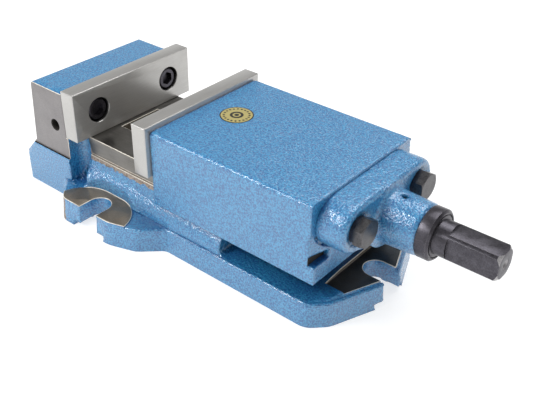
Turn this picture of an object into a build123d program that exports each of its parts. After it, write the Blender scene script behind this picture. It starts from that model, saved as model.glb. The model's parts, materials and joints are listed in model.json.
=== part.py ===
from build123d import *
import os

# A machine vise with 125 mm jaws, made in three groups: a cast base with the fixed jaw, a cast
# hood that slides on the base's two rails with the moving jaw, and a screw spindle that turns in
# a bracket bolted to the hood. All lengths are in millimetres.
# +X runs along the spindle to its drive end, +Z is up, and the vise is seen from -Y. The origin
# lies on the underside of the base, on the centreline, below the fixed jaw's clamping face.

# Drawing aids
OVERCUT = 1.0  # a cut or a joining block starts this far past the face it works on
NEARBY = 0.01  # places closer than this count as one

# Clearances
FIT = 0.05  # radial play of a pin, bush or screw in its own hole
RUNNING = 0.3  # play between parts that slide past each other

# Jaw plates
JAW_WIDTH = 125.0
JAW_HEIGHT = 41.0
JAW_THICKNESS = 14.0
JAW_OPENING = 65.0  # distance between the plates as the vise stands
JAW_EDGE = 0.5  # chamfer along the plates' edges
JAW_SCREW_SPACING = 76.0
JAW_SCREW_RISE = 20.4  # screw centres above the plates' lower edge
COUNTERBORE_RADIUS = 10.0
COUNTERBORE_DEPTH = 9.0
COUNTERBORE_EDGE = 0.6

# Travel of the hood from where it stands
TRAVEL_OUT = 25.0
CLOSED_GAP = 0.3  # left between the plates when the jaws are closed
TRAVEL_IN = JAW_OPENING - CLOSED_GAP
STOP_MARGIN = 1.0  # left inside the hood at both ends of the travel

# Fixed jaw block, cast in one with the base
BLOCK_HEIGHT = 95.0
BLOCK_TOP_LENGTH = 37.0
BLOCK_DRAFT = 4.0  # how much further back the block reaches at its ledge
BLOCK_NEAR = 62.5  # machined near side, from the centreline
BLOCK_FAR = 53.5  # far side as cast
BLOCK_EDGE = 2.0
BLOCK_FOOT = 2.0  # height of the sloping foot behind the block
BLOCK_FRONT_SETBACK = 12.0  # painted face under the plate, behind the clamping face
STOP_HOLE_RADIUS = 4.25  # core of an M10 thread for a work stop
STOP_HOLE_DEPTH = 20.0
STOP_HOLE_SETBACK = 26.0
STOP_HOLE_HEIGHT = 64.8
STOP_HOLE_EDGE = 0.8

# Heel: the low part of the base under and behind the block
HEEL_LENGTH = 72.0
HEEL_HEIGHT = 40.0
HEEL_BACK_HEIGHT = 24.0
HEEL_TOP_SETBACK = 57.0
HEEL_CORNER = 6.0
HEEL_EDGE = 3.0
MILLED_LEDGE_HEIGHT = 38.5  # the cut that faces the block's near side ends at this height

# Rails
RAIL_TOP = 57.0
RAIL_HALF_WIDTH = 49.0
RAIL_END_MARGIN = 3.3  # left between the rails' ends and the hood's end wall when closed
LEDGE_HEIGHT = 42.5
LEDGE_WIDTH = 2.0
RAIL_BLEND = 8.0  # hollow corner between a rail's side and the block
SHOULDER_START = 0.0
SHOULDER_CORNER = 10.0
SHOULDER_FLARE = 3.0  # how much wider the shoulders are at the jaw end
SHOULDER_FLARE_END = 65.0
# Outline of a cast shoulder: distance beyond the rail's side, height, and share of the flare
SHOULDER_OUTLINE = (
    (LEDGE_WIDTH, LEDGE_HEIGHT, 0.0),
    (4.8, 34.2, 0.0),
    (6.0, 32.2, 0.3),
    (8.8, 28.5, 1.0),
    (11.0, 23.5, 1.0),
    (11.3, 19.0, 1.0),
)
SKIRT_REACH = 5.6  # inner face of the hood's skirts, beyond the rail's side
CHANNEL_HALF_WIDTH = 20.0
CHANNEL_START = 4.0
FLANGE_THICKNESS = 14.0
RAIL_WALL = 15.0  # wall below the flange, outside the undercut
UNDERCUT_CORNER = 4.0

# Foot plate
FOOT_HALF_WIDTH = 64.0
FOOT_EDGE_HEIGHT = 19.0
FOOT_DRAFT = 4.8  # degrees of draft on the foot's sides
FLOOR_HEIGHT = 23.0
FLOOR_HALF_WIDTH = 20.0
FLOOR_INSET = 4.0  # flat margin between the foot's side and the rise of its floor
FLOOR_BEVEL = 45.0  # degrees, at the rim of the raised floor
NOSE_END = 255.0
NOSE_STRAIGHT_END = 227.0
NOSE_CORNER_X = 239.0
NOSE_CORNER_Y = 52.0
NOSE_TIP_HALF_WIDTH = 12.0
WING_HALF_WIDTH = 87.0
WING_ROOT_BEHIND = 52.5  # these four are distances from the bolt slot's centre
WING_EDGE_BEHIND = 30.5
WING_EDGE_AHEAD = 23.5
WING_SHOULDER_AHEAD = 46.0
WING_ROOT_AHEAD = 62.5
WING_SHOULDER_Y = 79.5
WING_ROOT_RADIUS = 12.0
WING_CORNER_RADIUS = 12.0
WING_BEND_RADIUS = 30.0
WING_SHOULDER_RADIUS = 16.0
WING_TOE_RADIUS = 8.0
NOSE_SIDE_RADIUS = 14.0
NOSE_CORNER_RADIUS = 16.0
NOSE_TIP_RADIUS = 3.0
FOOT_EDGE = 2.0
SLOT_WIDTH = 19.0
SLOT_RUN = 60.0  # the cuts of a slot run out this far from the middle of its closed end
SIDE_SLOT_X = 32.5
SIDE_SLOT_END = 64.0  # distance of the slot's closed end from the centreline
END_SLOT_END = 231.0
PAD_HEIGHT = 20.0
PAD_RADIUS = 28.9
PAD_CENTRE_Y = 86.0
PAD_SPREAD = 16.5
END_PAD_START = 224.0
END_PAD_HALF_WIDTH = 38.0
RELIEF_MARGIN = 7.7  # the hollow in the underside reaches this far round each slot
RELIEF_DEPTH = 4.0
CORE_MARGIN = 10.0  # from the opening in the floor to the ends of the channel
CORE_SIDE = 6.0  # from the opening to the undercut's sides
CORE_CORNER = 8.0

# Hood, the sliding casting
HOOD_START = JAW_OPENING + JAW_THICKNESS
HOOD_SEAT = 224.0  # machined end face that carries the bracket
HOOD_LIP_END = 228.0
HOOD_SIDE = 9.7  # thickness of the skirts beside the rails
HOOD_CROWN = 26.0  # the hood's top above the spindle axis
HOOD_RIM = 34.0
HOOD_EDGE = 3.0
HOOD_ROOF = 10.0
HOOD_END_WALL = 10.0
HOOD_FRONT_WALL = 17.0
HOOD_FRONT_EDGE = 2.0
HOOD_BEARING = 11.0  # width of the faces that ride on the rails
SKIRT_CLEARANCE = 1.0  # the skirts stay this far off the base as cast
LIP_SLOPE_START = 54.0
LIP_SLOPE_END = 69.0
WINDOW_BOTTOM = 47.5
WINDOW_TOP = 54.0
WINDOW_DEPTH = 5.4
WINDOW_LENGTH = 17.7
BOLT_BOSS_LENGTH = 14.0
BOLT_BOSS_WIDTH = 13.4
TONGUE_LENGTH = 22.0
TONGUE_LEAD = 7.0  # how far the tongue reaches forward of the hood
KEEPER_THICKNESS = 10.0
KEEPER_PLAY = 0.5  # at each side of the keeper
KEEPER_EDGE = 1.0
KEEPER_SCREW_PITCH_X = 11.0
KEEPER_SCREW_PITCH_Y = 22.0

# Bracket with its bearing barrel
BRACKET_THICKNESS = 22.0
BRACKET_END_RADIUS = 17.5
BRACKET_HUB_RADIUS = 22.0
BRACKET_EDGE = 4.0
BOLT_INSET = 22.3  # bolts from the hood's side faces
BRACKET_BOLT_RISE = 6.7  # bolts above the spindle axis
BRACKET_POCKET = 1.5  # machined margin round the bracket's foot in the hood's lip
SPOTFACE_RADIUS = 12.0
SPOTFACE_DEPTH = 2.0
BARREL_LENGTH = 28.5
BARREL_ROOT_RADIUS = 19.5
BARREL_END_RADIUS = 18.5
BARREL_FILLET = 5.0
BARREL_EDGE = 1.0
OIL_HOLE_RADIUS = 2.25
OIL_HOLE_SETBACK = 10.0  # from the bracket's front face
BUSH_WALL = 3.0
BEARING_HOLE_CLEARANCE = 2.0

# Spindle
AXIS_HEIGHT = 68.5
THREAD_RADIUS = 11.0
TIP_REACH = 4.0  # how far the spindle's tip lies inside the hood's front wall
THREAD_EDGE = 2.0
RELIEF_RADIUS = 8.5
JOURNAL_LEAD = 1.0  # the journal starts this far before the lock ring
JOURNAL_RADIUS = 12.5
COLLAR_RADIUS = 18.0
COLLAR_LENGTH = 9.7
COLLAR_EDGE = 1.5
COLLAR_GROOVE_RADIUS = 14.5
COLLAR_GROOVE_WIDTH = 1.0
DRIVE_RADIUS = 12.3
DRIVE_END = 329.0
DRIVE_FLATS = 19.0
DRIVE_SQUARE_LENGTH = 33.5
DRIVE_EDGE = 2.2
CUTTER_RADIUS = 2.0  # rounds the run-out of the flats
CENTRE_HOLE_RADIUS = 3.2
CENTRE_HOLE_TIP = 0.4
CENTRE_HOLE_DEPTH = 5.0
LOCK_RING_RADIUS = 17.0
LOCK_RING_WIDTH = 8.0
LOCK_PIN_RADIUS = 2.5
THRUST_WASHER_THICKNESS = 1.5
TIP_BORE_RADIUS = 13.0
TIP_BORE_MARGIN = 5.0

# Spindle nut and its pedestal
NUT_LENGTH = 22.0
NUT_SEAT_HEIGHT = 44.0
NUT_CROWN = 14.0  # the nut's top above the spindle axis
NUT_SIDE_PLAY = 0.3
NUT_EDGE = 4.0
NUT_SCREW_SPACING = 22.0
NUT_SCREW_DROP = 12.5  # tips of the nut's screws below the spindle axis
NUT_SCREW_SEAT = 14.0

# Fasteners
JAW_SCREW_RADIUS = 6.0
JAW_SCREW_HEAD_RADIUS = 9.0
JAW_SCREW_HEAD = 7.5
JAW_SCREW_SOCKET = 10.0
JAW_SCREW_GRIP = 18.0
KEEPER_SCREW_RADIUS = 2.5
KEEPER_SCREW_HEAD_RADIUS = 4.25
KEEPER_SCREW_HEAD = 5.0
KEEPER_SCREW_SOCKET = 4.0
KEEPER_SCREW_GRIP = 15.0
NUT_SCREW_RADIUS = 4.0
NUT_SCREW_HEAD_RADIUS = 6.5
NUT_SCREW_HEAD = 8.0
NUT_SCREW_SOCKET = 6.0
BOLT_RADIUS = 6.0
BOLT_FLATS = 19.0
BOLT_HEAD = 6.9
CROWN_FLARE = 14.0  # how fast the cone that rounds a head's corners widens over its height
BOLT_GRIP = 38.0
SPRING_WASHER_THICKNESS = 2.8
SPRING_WASHER_RADIUS = 10.0
HEAD_EDGE = 0.8
HOLE_ROOM = 0.6  # radial room round a screw head in its counterbore
HOLE_SPARE = 2.0  # depth of a blind hole beyond its screw's tip
TIP_SHARE = 1 / 6  # chamfer at a screw's tip, as a share of its radius
WASHER_SLIT = 1.0
WASHER_SLIT_ANGLE = 30.0

# Places that follow from the sizes above
UNDERCUT_HALF_WIDTH = RAIL_HALF_WIDTH - RAIL_WALL
KEEPER_HALF_WIDTH = UNDERCUT_HALF_WIDTH - KEEPER_PLAY
HOOD_HALF_WIDTH = RAIL_HALF_WIDTH + HOOD_SIDE
HOOD_TOP = AXIS_HEIGHT + HOOD_CROWN
BRACKET_BOLT_HEIGHT = AXIS_HEIGHT + BRACKET_BOLT_RISE
NUT_SCREW_GRIP = AXIS_HEIGHT - NUT_SCREW_DROP - NUT_SCREW_SEAT
FLANGE_BOTTOM = RAIL_TOP - FLANGE_THICKNESS
JAW_SCREW_Y = JAW_SCREW_SPACING / 2
JAW_SCREW_Z = RAIL_TOP + JAW_SCREW_RISE
BOLT_Y = HOOD_HALF_WIDTH - BOLT_INSET
BRACKET_FRONT = HOOD_SEAT + BRACKET_THICKNESS
BARREL_END = BRACKET_FRONT + BARREL_LENGTH
COLLAR_START = BARREL_END + RUNNING
COLLAR_END = COLLAR_START + COLLAR_LENGTH
BUSH_RADIUS = JOURNAL_RADIUS + FIT + BUSH_WALL
WASHER_END = HOOD_SEAT - RUNNING
LOCK_RING_END = WASHER_END - THRUST_WASHER_THICKNESS
LOCK_RING_START = LOCK_RING_END - LOCK_RING_WIDTH
TONGUE_START = HOOD_START - TONGUE_LEAD
TONGUE_END = TONGUE_START + TONGUE_LENGTH
TONGUE_BOTTOM = FLANGE_BOTTOM - RUNNING
KEEPER_BOTTOM = TONGUE_BOTTOM - KEEPER_THICKNESS
NUT_START = HOOD_START + HOOD_FRONT_WALL + TRAVEL_OUT + STOP_MARGIN
NUT_END = NUT_START + NUT_LENGTH
NUT_MIDDLE = NUT_START + NUT_LENGTH / 2
RAIL_END = HOOD_SEAT - HOOD_END_WALL - TRAVEL_IN - RAIL_END_MARGIN
THREAD_START = HOOD_START + HOOD_FRONT_WALL - TIP_REACH
THREAD_END = NUT_END + TRAVEL_IN + RUNNING
JOURNAL_START = LOCK_RING_START - JOURNAL_LEAD
CORE_START = CHANNEL_START + CORE_MARGIN
CORE_END = NUT_START - CORE_MARGIN
CORE_HALF_WIDTH = UNDERCUT_HALF_WIDTH - CORE_SIDE


def block(x, y, z):
    """A rectangular block between two values along each axis."""
    size = [abs(end - start) for start, end in (x, y, z)]
    middle = [(start + end) / 2 for start, end in (x, y, z)]
    return Pos(*middle) * Box(*size)


def rod(radius, start, end):
    """A round bar from one point to another."""
    length = Vector(*end) - Vector(*start)
    return extrude(Plane(origin=start, z_dir=length) * Circle(radius), amount=length.length)


def tube(outer, inner, start, end):
    """A round bar with a bore."""
    return rod(outer, start, end) - rod(inner, start, end)


def on_axis(x):
    """The point of the spindle axis at a place along the vise."""
    return (x, 0, AXIS_HEIGHT)


def along_vise(face, start, end):
    """A section drawn in Y and Z, run along X from start to end."""
    return extrude(Plane.YZ.offset(start) * face, amount=end - start)


def across_vise(face, near, far):
    """A profile drawn in X and Z, run across the vise from near to far."""
    return extrude(Plane.XZ.offset(-far) * face, amount=far - near)


def polygon(*points):
    return make_face(Polyline(*points, close=True))


def both_sides(shape):
    """A shape with its mirror image on the other side of the centreline."""
    return shape + mirror(shape, about=Plane.XZ)


def slot_cut(closed_end, margin=0.0):
    """A bolt slot in plan, with a round closed end on the left and open to the right."""
    centre = closed_end + SLOT_WIDTH / 2
    width = SLOT_WIDTH + 2 * margin
    return Pos(centre, 0) * Circle(width / 2) + Pos(centre + SLOT_RUN / 2, 0) * Rectangle(SLOT_RUN, width)


def foot_outline():
    """The foot plate in plan: heel, one wing at each side and the tapering nose."""
    side = [
        (-HEEL_LENGTH, -FOOT_HALF_WIDTH),
        (SIDE_SLOT_X - WING_ROOT_BEHIND, -FOOT_HALF_WIDTH),
        (SIDE_SLOT_X - WING_EDGE_BEHIND, -WING_HALF_WIDTH),
        (SIDE_SLOT_X + WING_EDGE_AHEAD, -WING_HALF_WIDTH),
        (SIDE_SLOT_X + WING_SHOULDER_AHEAD, -WING_SHOULDER_Y),
        (SIDE_SLOT_X + WING_ROOT_AHEAD, -FOOT_HALF_WIDTH),
        (NOSE_STRAIGHT_END, -FOOT_HALF_WIDTH),
        (NOSE_CORNER_X, -NOSE_CORNER_Y),
        (NOSE_END, -NOSE_TIP_HALF_WIDTH),
    ]
    radii = [
        HEEL_CORNER,
        WING_ROOT_RADIUS,
        WING_CORNER_RADIUS,
        WING_BEND_RADIUS,
        WING_SHOULDER_RADIUS,
        WING_TOE_RADIUS,
        NOSE_SIDE_RADIUS,
        NOSE_CORNER_RADIUS,
        NOSE_TIP_RADIUS,
    ]
    far = [(x, -y) for x, y in reversed(side)]
    outline = FilletPolyline(*side, *far, radius=radii + radii[::-1], close=True)
    return make_face(outline)


def wing_pad():
    """The milled pad round a side slot, in plan."""
    ends = [
        Pos(SIDE_SLOT_X + shift * PAD_SPREAD / 2, -PAD_CENTRE_Y) * Circle(PAD_RADIUS)
        for shift in (-1, 1)
    ]
    return make_hull(ends[0].edges() + ends[1].edges())


def base_casting():
    """The cast base: foot plate, heel, fixed jaw block, rails and nut pedestal."""
    outline = foot_outline()
    base = foot_plate(outline) + heel()
    base += block((-BLOCK_FRONT_SETBACK, RAIL_END), (-RAIL_HALF_WIDTH, RAIL_HALF_WIDTH), (0, RAIL_TOP))
    base += shoulders() + rail_blends() + jaw_block()
    base -= rail_channel()
    base += nut_pedestal()
    base -= floor_core()
    base = cut_pads_and_slots(base, outline)
    return base - base_holes()


def foot_plate(outline):
    """The flat foot with its drafted sides, and the floor that rises from it to the middle."""
    plate = extrude(outline, amount=FOOT_EDGE_HEIGHT, taper=FOOT_DRAFT)
    plate = fillet(plate.edges().group_by(Axis.Z)[-1], FOOT_EDGE)
    side = FOOT_HALF_WIDTH - FLOOR_INSET
    section = polygon(
        (-side, 0),
        (-side, FOOT_EDGE_HEIGHT),
        (-FLOOR_HALF_WIDTH, FLOOR_HEIGHT),
        (FLOOR_HALF_WIDTH, FLOOR_HEIGHT),
        (side, FOOT_EDGE_HEIGHT),
        (side, 0),
    )
    rise = FLOOR_HEIGHT - FOOT_EDGE_HEIGHT
    raised = extrude(offset(outline, -FLOOR_INSET), amount=rise, taper=FLOOR_BEVEL)
    return plate + (along_vise(section, -HEEL_TOP_SETBACK, NOSE_END) & Pos(0, 0, FOOT_EDGE_HEIGHT) * raised)


def heel():
    """The low part of the base under the jaw block, sloping at the back, its edges as cast."""
    profile = polygon(
        (-HEEL_LENGTH, 0),
        (-HEEL_LENGTH, HEEL_BACK_HEIGHT),
        (-HEEL_TOP_SETBACK, HEEL_HEIGHT),
        (-BLOCK_FRONT_SETBACK, HEEL_HEIGHT),
        (-BLOCK_FRONT_SETBACK, 0),
    )
    body = across_vise(profile, -FOOT_HALF_WIDTH, FOOT_HALF_WIDTH)
    body = fillet(body.edges().filter_by(Axis.Z).group_by(Axis.X)[0], HEEL_CORNER)
    upper = body.edges().filter_by(lambda edge: edge.center().Z > HEEL_BACK_HEIGHT - NEARBY)
    upper = upper.filter_by(lambda edge: edge.center().X < -BLOCK_FRONT_SETBACK - NEARBY)
    body = fillet(upper, HEEL_EDGE)
    return body - block(
        (-HEEL_LENGTH - OVERCUT, -BLOCK_FRONT_SETBACK + OVERCUT),
        (-FOOT_HALF_WIDTH - OVERCUT, -BLOCK_NEAR),
        (MILLED_LEDGE_HEIGHT, HEEL_HEIGHT + OVERCUT),
    )


def shoulders():
    """The cast shoulders below the rails: wider at the jaw end, where they stop in a round corner."""
    sections = []
    for x, flare in ((SHOULDER_START, SHOULDER_FLARE), (SHOULDER_FLARE_END, 0), (RAIL_END, 0)):
        outline = [(-RAIL_HALF_WIDTH - reach - share * flare, z) for reach, z, share in SHOULDER_OUTLINE]
        foot = (outline[-1][0], 0)
        sections.append(Plane.YZ.offset(x) * polygon((0, LEDGE_HEIGHT), *outline, foot, (0, 0)))
    body = loft(sections[:2], ruled=True) + loft(sections[1:], ruled=True)
    reach = RAIL_HALF_WIDTH + SHOULDER_OUTLINE[-1][0] + SHOULDER_FLARE
    plan = FilletPolyline(
        (SHOULDER_START, 0),
        (SHOULDER_START, -reach),
        (RAIL_END, -reach),
        (RAIL_END, 0),
        radius=[0, SHOULDER_CORNER, 0, 0],
        close=True,
    )
    return both_sides(body & extrude(make_face(plan), amount=LEDGE_HEIGHT))


def rail_blends():
    """Hollow cast corners where the rails run into the jaw block."""
    radius = RAIL_BLEND
    inner = Pos(-BLOCK_FRONT_SETBACK, -RAIL_HALF_WIDTH)
    corner = inner * Pos(radius / 2, -radius / 2) * Rectangle(radius, radius)
    corner -= inner * Pos(radius, -radius) * Circle(radius)
    blends = both_sides(extrude(corner, amount=RAIL_TOP))
    return blends - block(
        (-BLOCK_FRONT_SETBACK - OVERCUT, 0),
        (BLOCK_FAR, FOOT_HALF_WIDTH),
        (HEEL_HEIGHT, RAIL_TOP + OVERCUT),
    )


def jaw_block():
    """The upright block behind the fixed jaw plate."""
    profile = polygon(
        (-HEEL_TOP_SETBACK, HEEL_HEIGHT - OVERCUT),
        (-HEEL_TOP_SETBACK, HEEL_HEIGHT),
        (-JAW_THICKNESS - BLOCK_TOP_LENGTH - BLOCK_DRAFT, HEEL_HEIGHT + BLOCK_FOOT),
        (-JAW_THICKNESS - BLOCK_TOP_LENGTH, BLOCK_HEIGHT),
        (-JAW_THICKNESS, BLOCK_HEIGHT),
        (-JAW_THICKNESS, RAIL_TOP),
        (-BLOCK_FRONT_SETBACK, RAIL_TOP),
        (-BLOCK_FRONT_SETBACK, HEEL_HEIGHT - OVERCUT),
    )
    body = across_vise(profile, -BLOCK_NEAR, BLOCK_FAR)
    cast_edges = body.edges().group_by(Axis.Z)[-1].sort_by(Axis.X)[0]
    far_top = body.edges().group_by(Axis.Z)[-1].group_by(Axis.Y)[-1]
    return fillet([cast_edges, *far_top], BLOCK_EDGE)


def rail_channel():
    """The channel between the rails and the undercut below their flanges."""
    channel = block(
        (CHANNEL_START, RAIL_END + OVERCUT),
        (-CHANNEL_HALF_WIDTH, CHANNEL_HALF_WIDTH),
        (FLOOR_HEIGHT, RAIL_TOP + OVERCUT),
    )
    undercut = block(
        (CHANNEL_START, RAIL_END + UNDERCUT_CORNER * 2),
        (-UNDERCUT_HALF_WIDTH, UNDERCUT_HALF_WIDTH),
        (FLOOR_HEIGHT, FLANGE_BOTTOM),
    )
    return channel + fillet(undercut.edges().filter_by(Axis.Z), UNDERCUT_CORNER)


def nut_pedestal():
    """The cast seat that lifts the spindle nut off the floor."""
    return block(
        (NUT_START, NUT_END),
        (-CHANNEL_HALF_WIDTH, CHANNEL_HALF_WIDTH),
        (FLOOR_HEIGHT - OVERCUT, NUT_SEAT_HEIGHT),
    )


def floor_core():
    """The opening in the floor that gives access to the keeper from below."""
    core = block(
        (CORE_START, CORE_END),
        (-CORE_HALF_WIDTH, CORE_HALF_WIDTH),
        (-OVERCUT, FLOOR_HEIGHT + OVERCUT),
    )
    return fillet(core.edges().filter_by(Axis.Z), CORE_CORNER)


def cut_pads_and_slots(base, outline):
    """Mills the pads and cuts the bolt slots in the wings and the nose, with the hollows below."""
    pad = wing_pad()
    drafted = extrude(outline, amount=PAD_HEIGHT, taper=FOOT_DRAFT)
    base += both_sides(extrude(pad, amount=PAD_HEIGHT) & drafted)
    base -= both_sides(Pos(0, 0, PAD_HEIGHT) * extrude(pad, amount=FLOOR_HEIGHT))
    base -= both_sides(Pos(SIDE_SLOT_X, 0) * Rot(0, 0, -90) * bolt_slot(SIDE_SLOT_END))
    base -= block(
        (END_PAD_START, NOSE_END + OVERCUT),
        (-END_PAD_HALF_WIDTH, END_PAD_HALF_WIDTH),
        (PAD_HEIGHT, FLOOR_HEIGHT + OVERCUT),
    )
    return base - bolt_slot(END_SLOT_END)


def bolt_slot(closed_end):
    """The cut of a slot through the foot and of the shallow hollow round it in the underside."""
    slot = extrude(slot_cut(closed_end), amount=FLOOR_HEIGHT + 2 * OVERCUT)
    hollow = extrude(slot_cut(closed_end, RELIEF_MARGIN), amount=RELIEF_DEPTH + OVERCUT)
    return Pos(0, 0, -OVERCUT) * (slot + hollow)


def base_holes():
    """Holes for the fixed jaw's screws, the nut's screws and the work stop."""
    depth = COUNTERBORE_DEPTH + JAW_SCREW_GRIP + HOLE_SPARE
    holes = [
        rod(JAW_SCREW_RADIUS + FIT, (-depth, y, JAW_SCREW_Z), (0, y, JAW_SCREW_Z))
        for y in (-JAW_SCREW_Y, JAW_SCREW_Y)
    ]
    mouth = (-STOP_HOLE_SETBACK, -BLOCK_NEAR, STOP_HOLE_HEIGHT)
    bottom = (-STOP_HOLE_SETBACK, -BLOCK_NEAR + STOP_HOLE_DEPTH, STOP_HOLE_HEIGHT)
    countersink = Pos(*mouth) * Rot(90, 0, 0) * Pos(0, 0, -STOP_HOLE_EDGE / 2)
    holes.append(rod(STOP_HOLE_RADIUS, mouth, bottom))
    holes.append(countersink * Cone(STOP_HOLE_RADIUS, STOP_HOLE_RADIUS + STOP_HOLE_EDGE, STOP_HOLE_EDGE))
    for y in (-NUT_SCREW_SPACING / 2, NUT_SCREW_SPACING / 2):
        below = (NUT_MIDDLE, y, -OVERCUT)
        holes.append(rod(NUT_SCREW_RADIUS + FIT, below, (NUT_MIDDLE, y, NUT_SEAT_HEIGHT + OVERCUT)))
        holes.append(rod(NUT_SCREW_HEAD_RADIUS + HOLE_ROOM, below, (NUT_MIDDLE, y, NUT_SCREW_SEAT)))
    return Part() + holes


def jaw_plate(back, front):
    """A hardened jaw plate between two places along X, counterbored from its front."""
    plate = block((back, front), (-JAW_WIDTH / 2, JAW_WIDTH / 2), (RAIL_TOP, RAIL_TOP + JAW_HEIGHT))
    plate = chamfer(plate.edges(), JAW_EDGE)
    inward = 1 if back > front else -1
    seat = front + inward * COUNTERBORE_DEPTH
    for y in (-JAW_SCREW_Y, JAW_SCREW_Y):
        mouth = (front - inward, y, JAW_SCREW_Z)
        plate -= rod(JAW_SCREW_RADIUS + FIT, mouth, (back + inward, y, JAW_SCREW_Z))
        plate -= rod(COUNTERBORE_RADIUS, mouth, (seat, y, JAW_SCREW_Z))
        rims = plate.edges().filter_by(GeomType.CIRCLE)
        rims = rims.filter_by(lambda edge: abs(edge.center().X - front) < NEARBY)
        rim = rims.sort_by_distance((front, y, JAW_SCREW_Z))[0]
        plate = chamfer(rim, COUNTERBORE_EDGE)
    return plate


def socket_screw(radius, head_radius, head, socket, grip):
    """A socket head screw along Z, with the seat of its head at the origin and its tip below."""
    shank = Pos(0, 0, -grip / 2) * Cylinder(radius, grip)
    shank = chamfer(shank.edges().sort_by(Axis.Z)[0], radius * TIP_SHARE)
    cap = Pos(0, 0, head / 2) * Cylinder(head_radius, head)
    cap = chamfer(cap.edges().sort_by(Axis.Z)[-1], HEAD_EDGE)
    hexagon = RegularPolygon(socket / 2, 6, major_radius=False)
    return shank + cap - Pos(0, 0, head / 2) * extrude(hexagon, amount=head)


def hex_bolt():
    """A hexagon bolt along Z, with the seat of its head at the origin and its tip below."""
    shank = Pos(0, 0, -BOLT_GRIP / 2) * Cylinder(BOLT_RADIUS, BOLT_GRIP)
    shank = chamfer(shank.edges().sort_by(Axis.Z)[0], BOLT_RADIUS * TIP_SHARE)
    head = extrude(RegularPolygon(BOLT_FLATS / 2, 6, major_radius=False), amount=BOLT_HEAD)
    crown = Cone(BOLT_FLATS / 2 - HEAD_EDGE / 2 + CROWN_FLARE, BOLT_FLATS / 2 - HEAD_EDGE / 2, BOLT_HEAD)
    return shank + (head & Pos(0, 0, BOLT_HEAD / 2) * crown)


def moving_jaw():
    """The hood: a hollow casting, open below, that rides on the rails."""
    half = HOOD_HALF_WIDTH
    outside = polygon(
        (HOOD_START, HOOD_RIM),
        (HOOD_LIP_END, HOOD_RIM),
        (HOOD_LIP_END, LIP_SLOPE_START),
        (HOOD_SEAT, LIP_SLOPE_END),
        (HOOD_SEAT, HOOD_TOP),
        (HOOD_START, HOOD_TOP),
    )
    hood = across_vise(outside, -half, half)
    top_edges = hood.edges().filter_by(Axis.X).group_by(Axis.Z)[-1]
    hood = fillet(top_edges, HOOD_EDGE)
    front_edges = hood.edges().filter_by(Axis.Z).group_by(Axis.X)[0]
    hood = fillet(front_edges, HOOD_FRONT_EDGE)
    hood -= along_vise(rail_passage(), HOOD_START - OVERCUT, HOOD_SEAT - HOOD_END_WALL)
    bearing_inner = RAIL_HALF_WIDTH + RUNNING - HOOD_BEARING
    cavity = block(
        (HOOD_START + HOOD_FRONT_WALL, HOOD_SEAT - HOOD_END_WALL),
        (-bearing_inner, bearing_inner),
        (RAIL_TOP - OVERCUT, HOOD_TOP - HOOD_ROOF),
    )
    hood -= fillet(cavity.edges().filter_by(Axis.X).group_by(Axis.Z)[-1], HOOD_EDGE)
    hood += tongue() + bolt_bosses(bearing_inner)
    return hood - hood_cuts() - hood_holes()


def rail_passage():
    """The section below the hood that clears the rails and the cast shoulders."""
    guide = RAIL_HALF_WIDTH + RUNNING
    skirt = RAIL_HALF_WIDTH + SKIRT_REACH + RUNNING
    step = LEDGE_HEIGHT + SKIRT_CLEARANCE
    return polygon(
        (-skirt, HOOD_RIM - OVERCUT),
        (-skirt, step),
        (-guide, step),
        (-guide, RAIL_TOP),
        (guide, RAIL_TOP),
        (guide, step),
        (skirt, step),
        (skirt, HOOD_RIM - OVERCUT),
    )


def tongue():
    """The tongue that reaches down between the rails and carries the keeper."""
    width = CHANNEL_HALF_WIDTH - RUNNING
    low = block((TONGUE_START, TONGUE_END), (-width, width), (TONGUE_BOTTOM, RAIL_TOP))
    root = block((HOOD_START, TONGUE_END), (-width, width), (TONGUE_BOTTOM, RAIL_TOP + OVERCUT))
    return low + root


def bolt_bosses(bearing_inner):
    """Thick places inside the end wall for the bracket's bolts."""
    end = HOOD_SEAT - HOOD_END_WALL
    boss = block(
        (end - BOLT_BOSS_LENGTH, end + OVERCUT),
        (-bearing_inner - OVERCUT, -bearing_inner + BOLT_BOSS_WIDTH),
        (BRACKET_BOLT_HEIGHT - BOLT_FLATS / 2, HOOD_TOP - HOOD_ROOF + OVERCUT),
    )
    return both_sides(boss)


def bracket_outline(margin=0.0):
    """The bracket's outline in Y and Z: two bolt ends and a hub round the axis."""
    ends = [Pos(y, BRACKET_BOLT_HEIGHT) * Circle(BRACKET_END_RADIUS + margin) for y in (-BOLT_Y, BOLT_Y)]
    hub = Pos(0, AXIS_HEIGHT) * Circle(BRACKET_HUB_RADIUS + margin)
    return make_hull(ends[0].edges() + ends[1].edges() + hub.edges())


def hood_cuts():
    """Machined pocket of the bracket, the windows at the rear corners and the taper above them."""
    pocket = along_vise(bracket_outline(BRACKET_POCKET), HOOD_SEAT, HOOD_LIP_END + OVERCUT)
    window = block(
        (HOOD_LIP_END - WINDOW_DEPTH, HOOD_LIP_END + OVERCUT),
        (-HOOD_HALF_WIDTH - OVERCUT, -HOOD_HALF_WIDTH + WINDOW_LENGTH),
        (WINDOW_BOTTOM, WINDOW_TOP),
    )
    wedge = polygon(
        (HOOD_LIP_END, -HOOD_HALF_WIDTH + WINDOW_LENGTH),
        (HOOD_LIP_END - WINDOW_DEPTH, -HOOD_HALF_WIDTH - OVERCUT),
        (HOOD_LIP_END + OVERCUT, -HOOD_HALF_WIDTH - OVERCUT),
        (HOOD_LIP_END + OVERCUT, -HOOD_HALF_WIDTH + WINDOW_LENGTH),
    )
    corner = Pos(0, 0, WINDOW_TOP) * extrude(wedge, amount=LIP_SLOPE_END - WINDOW_TOP)
    return pocket + both_sides(window + corner)


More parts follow.
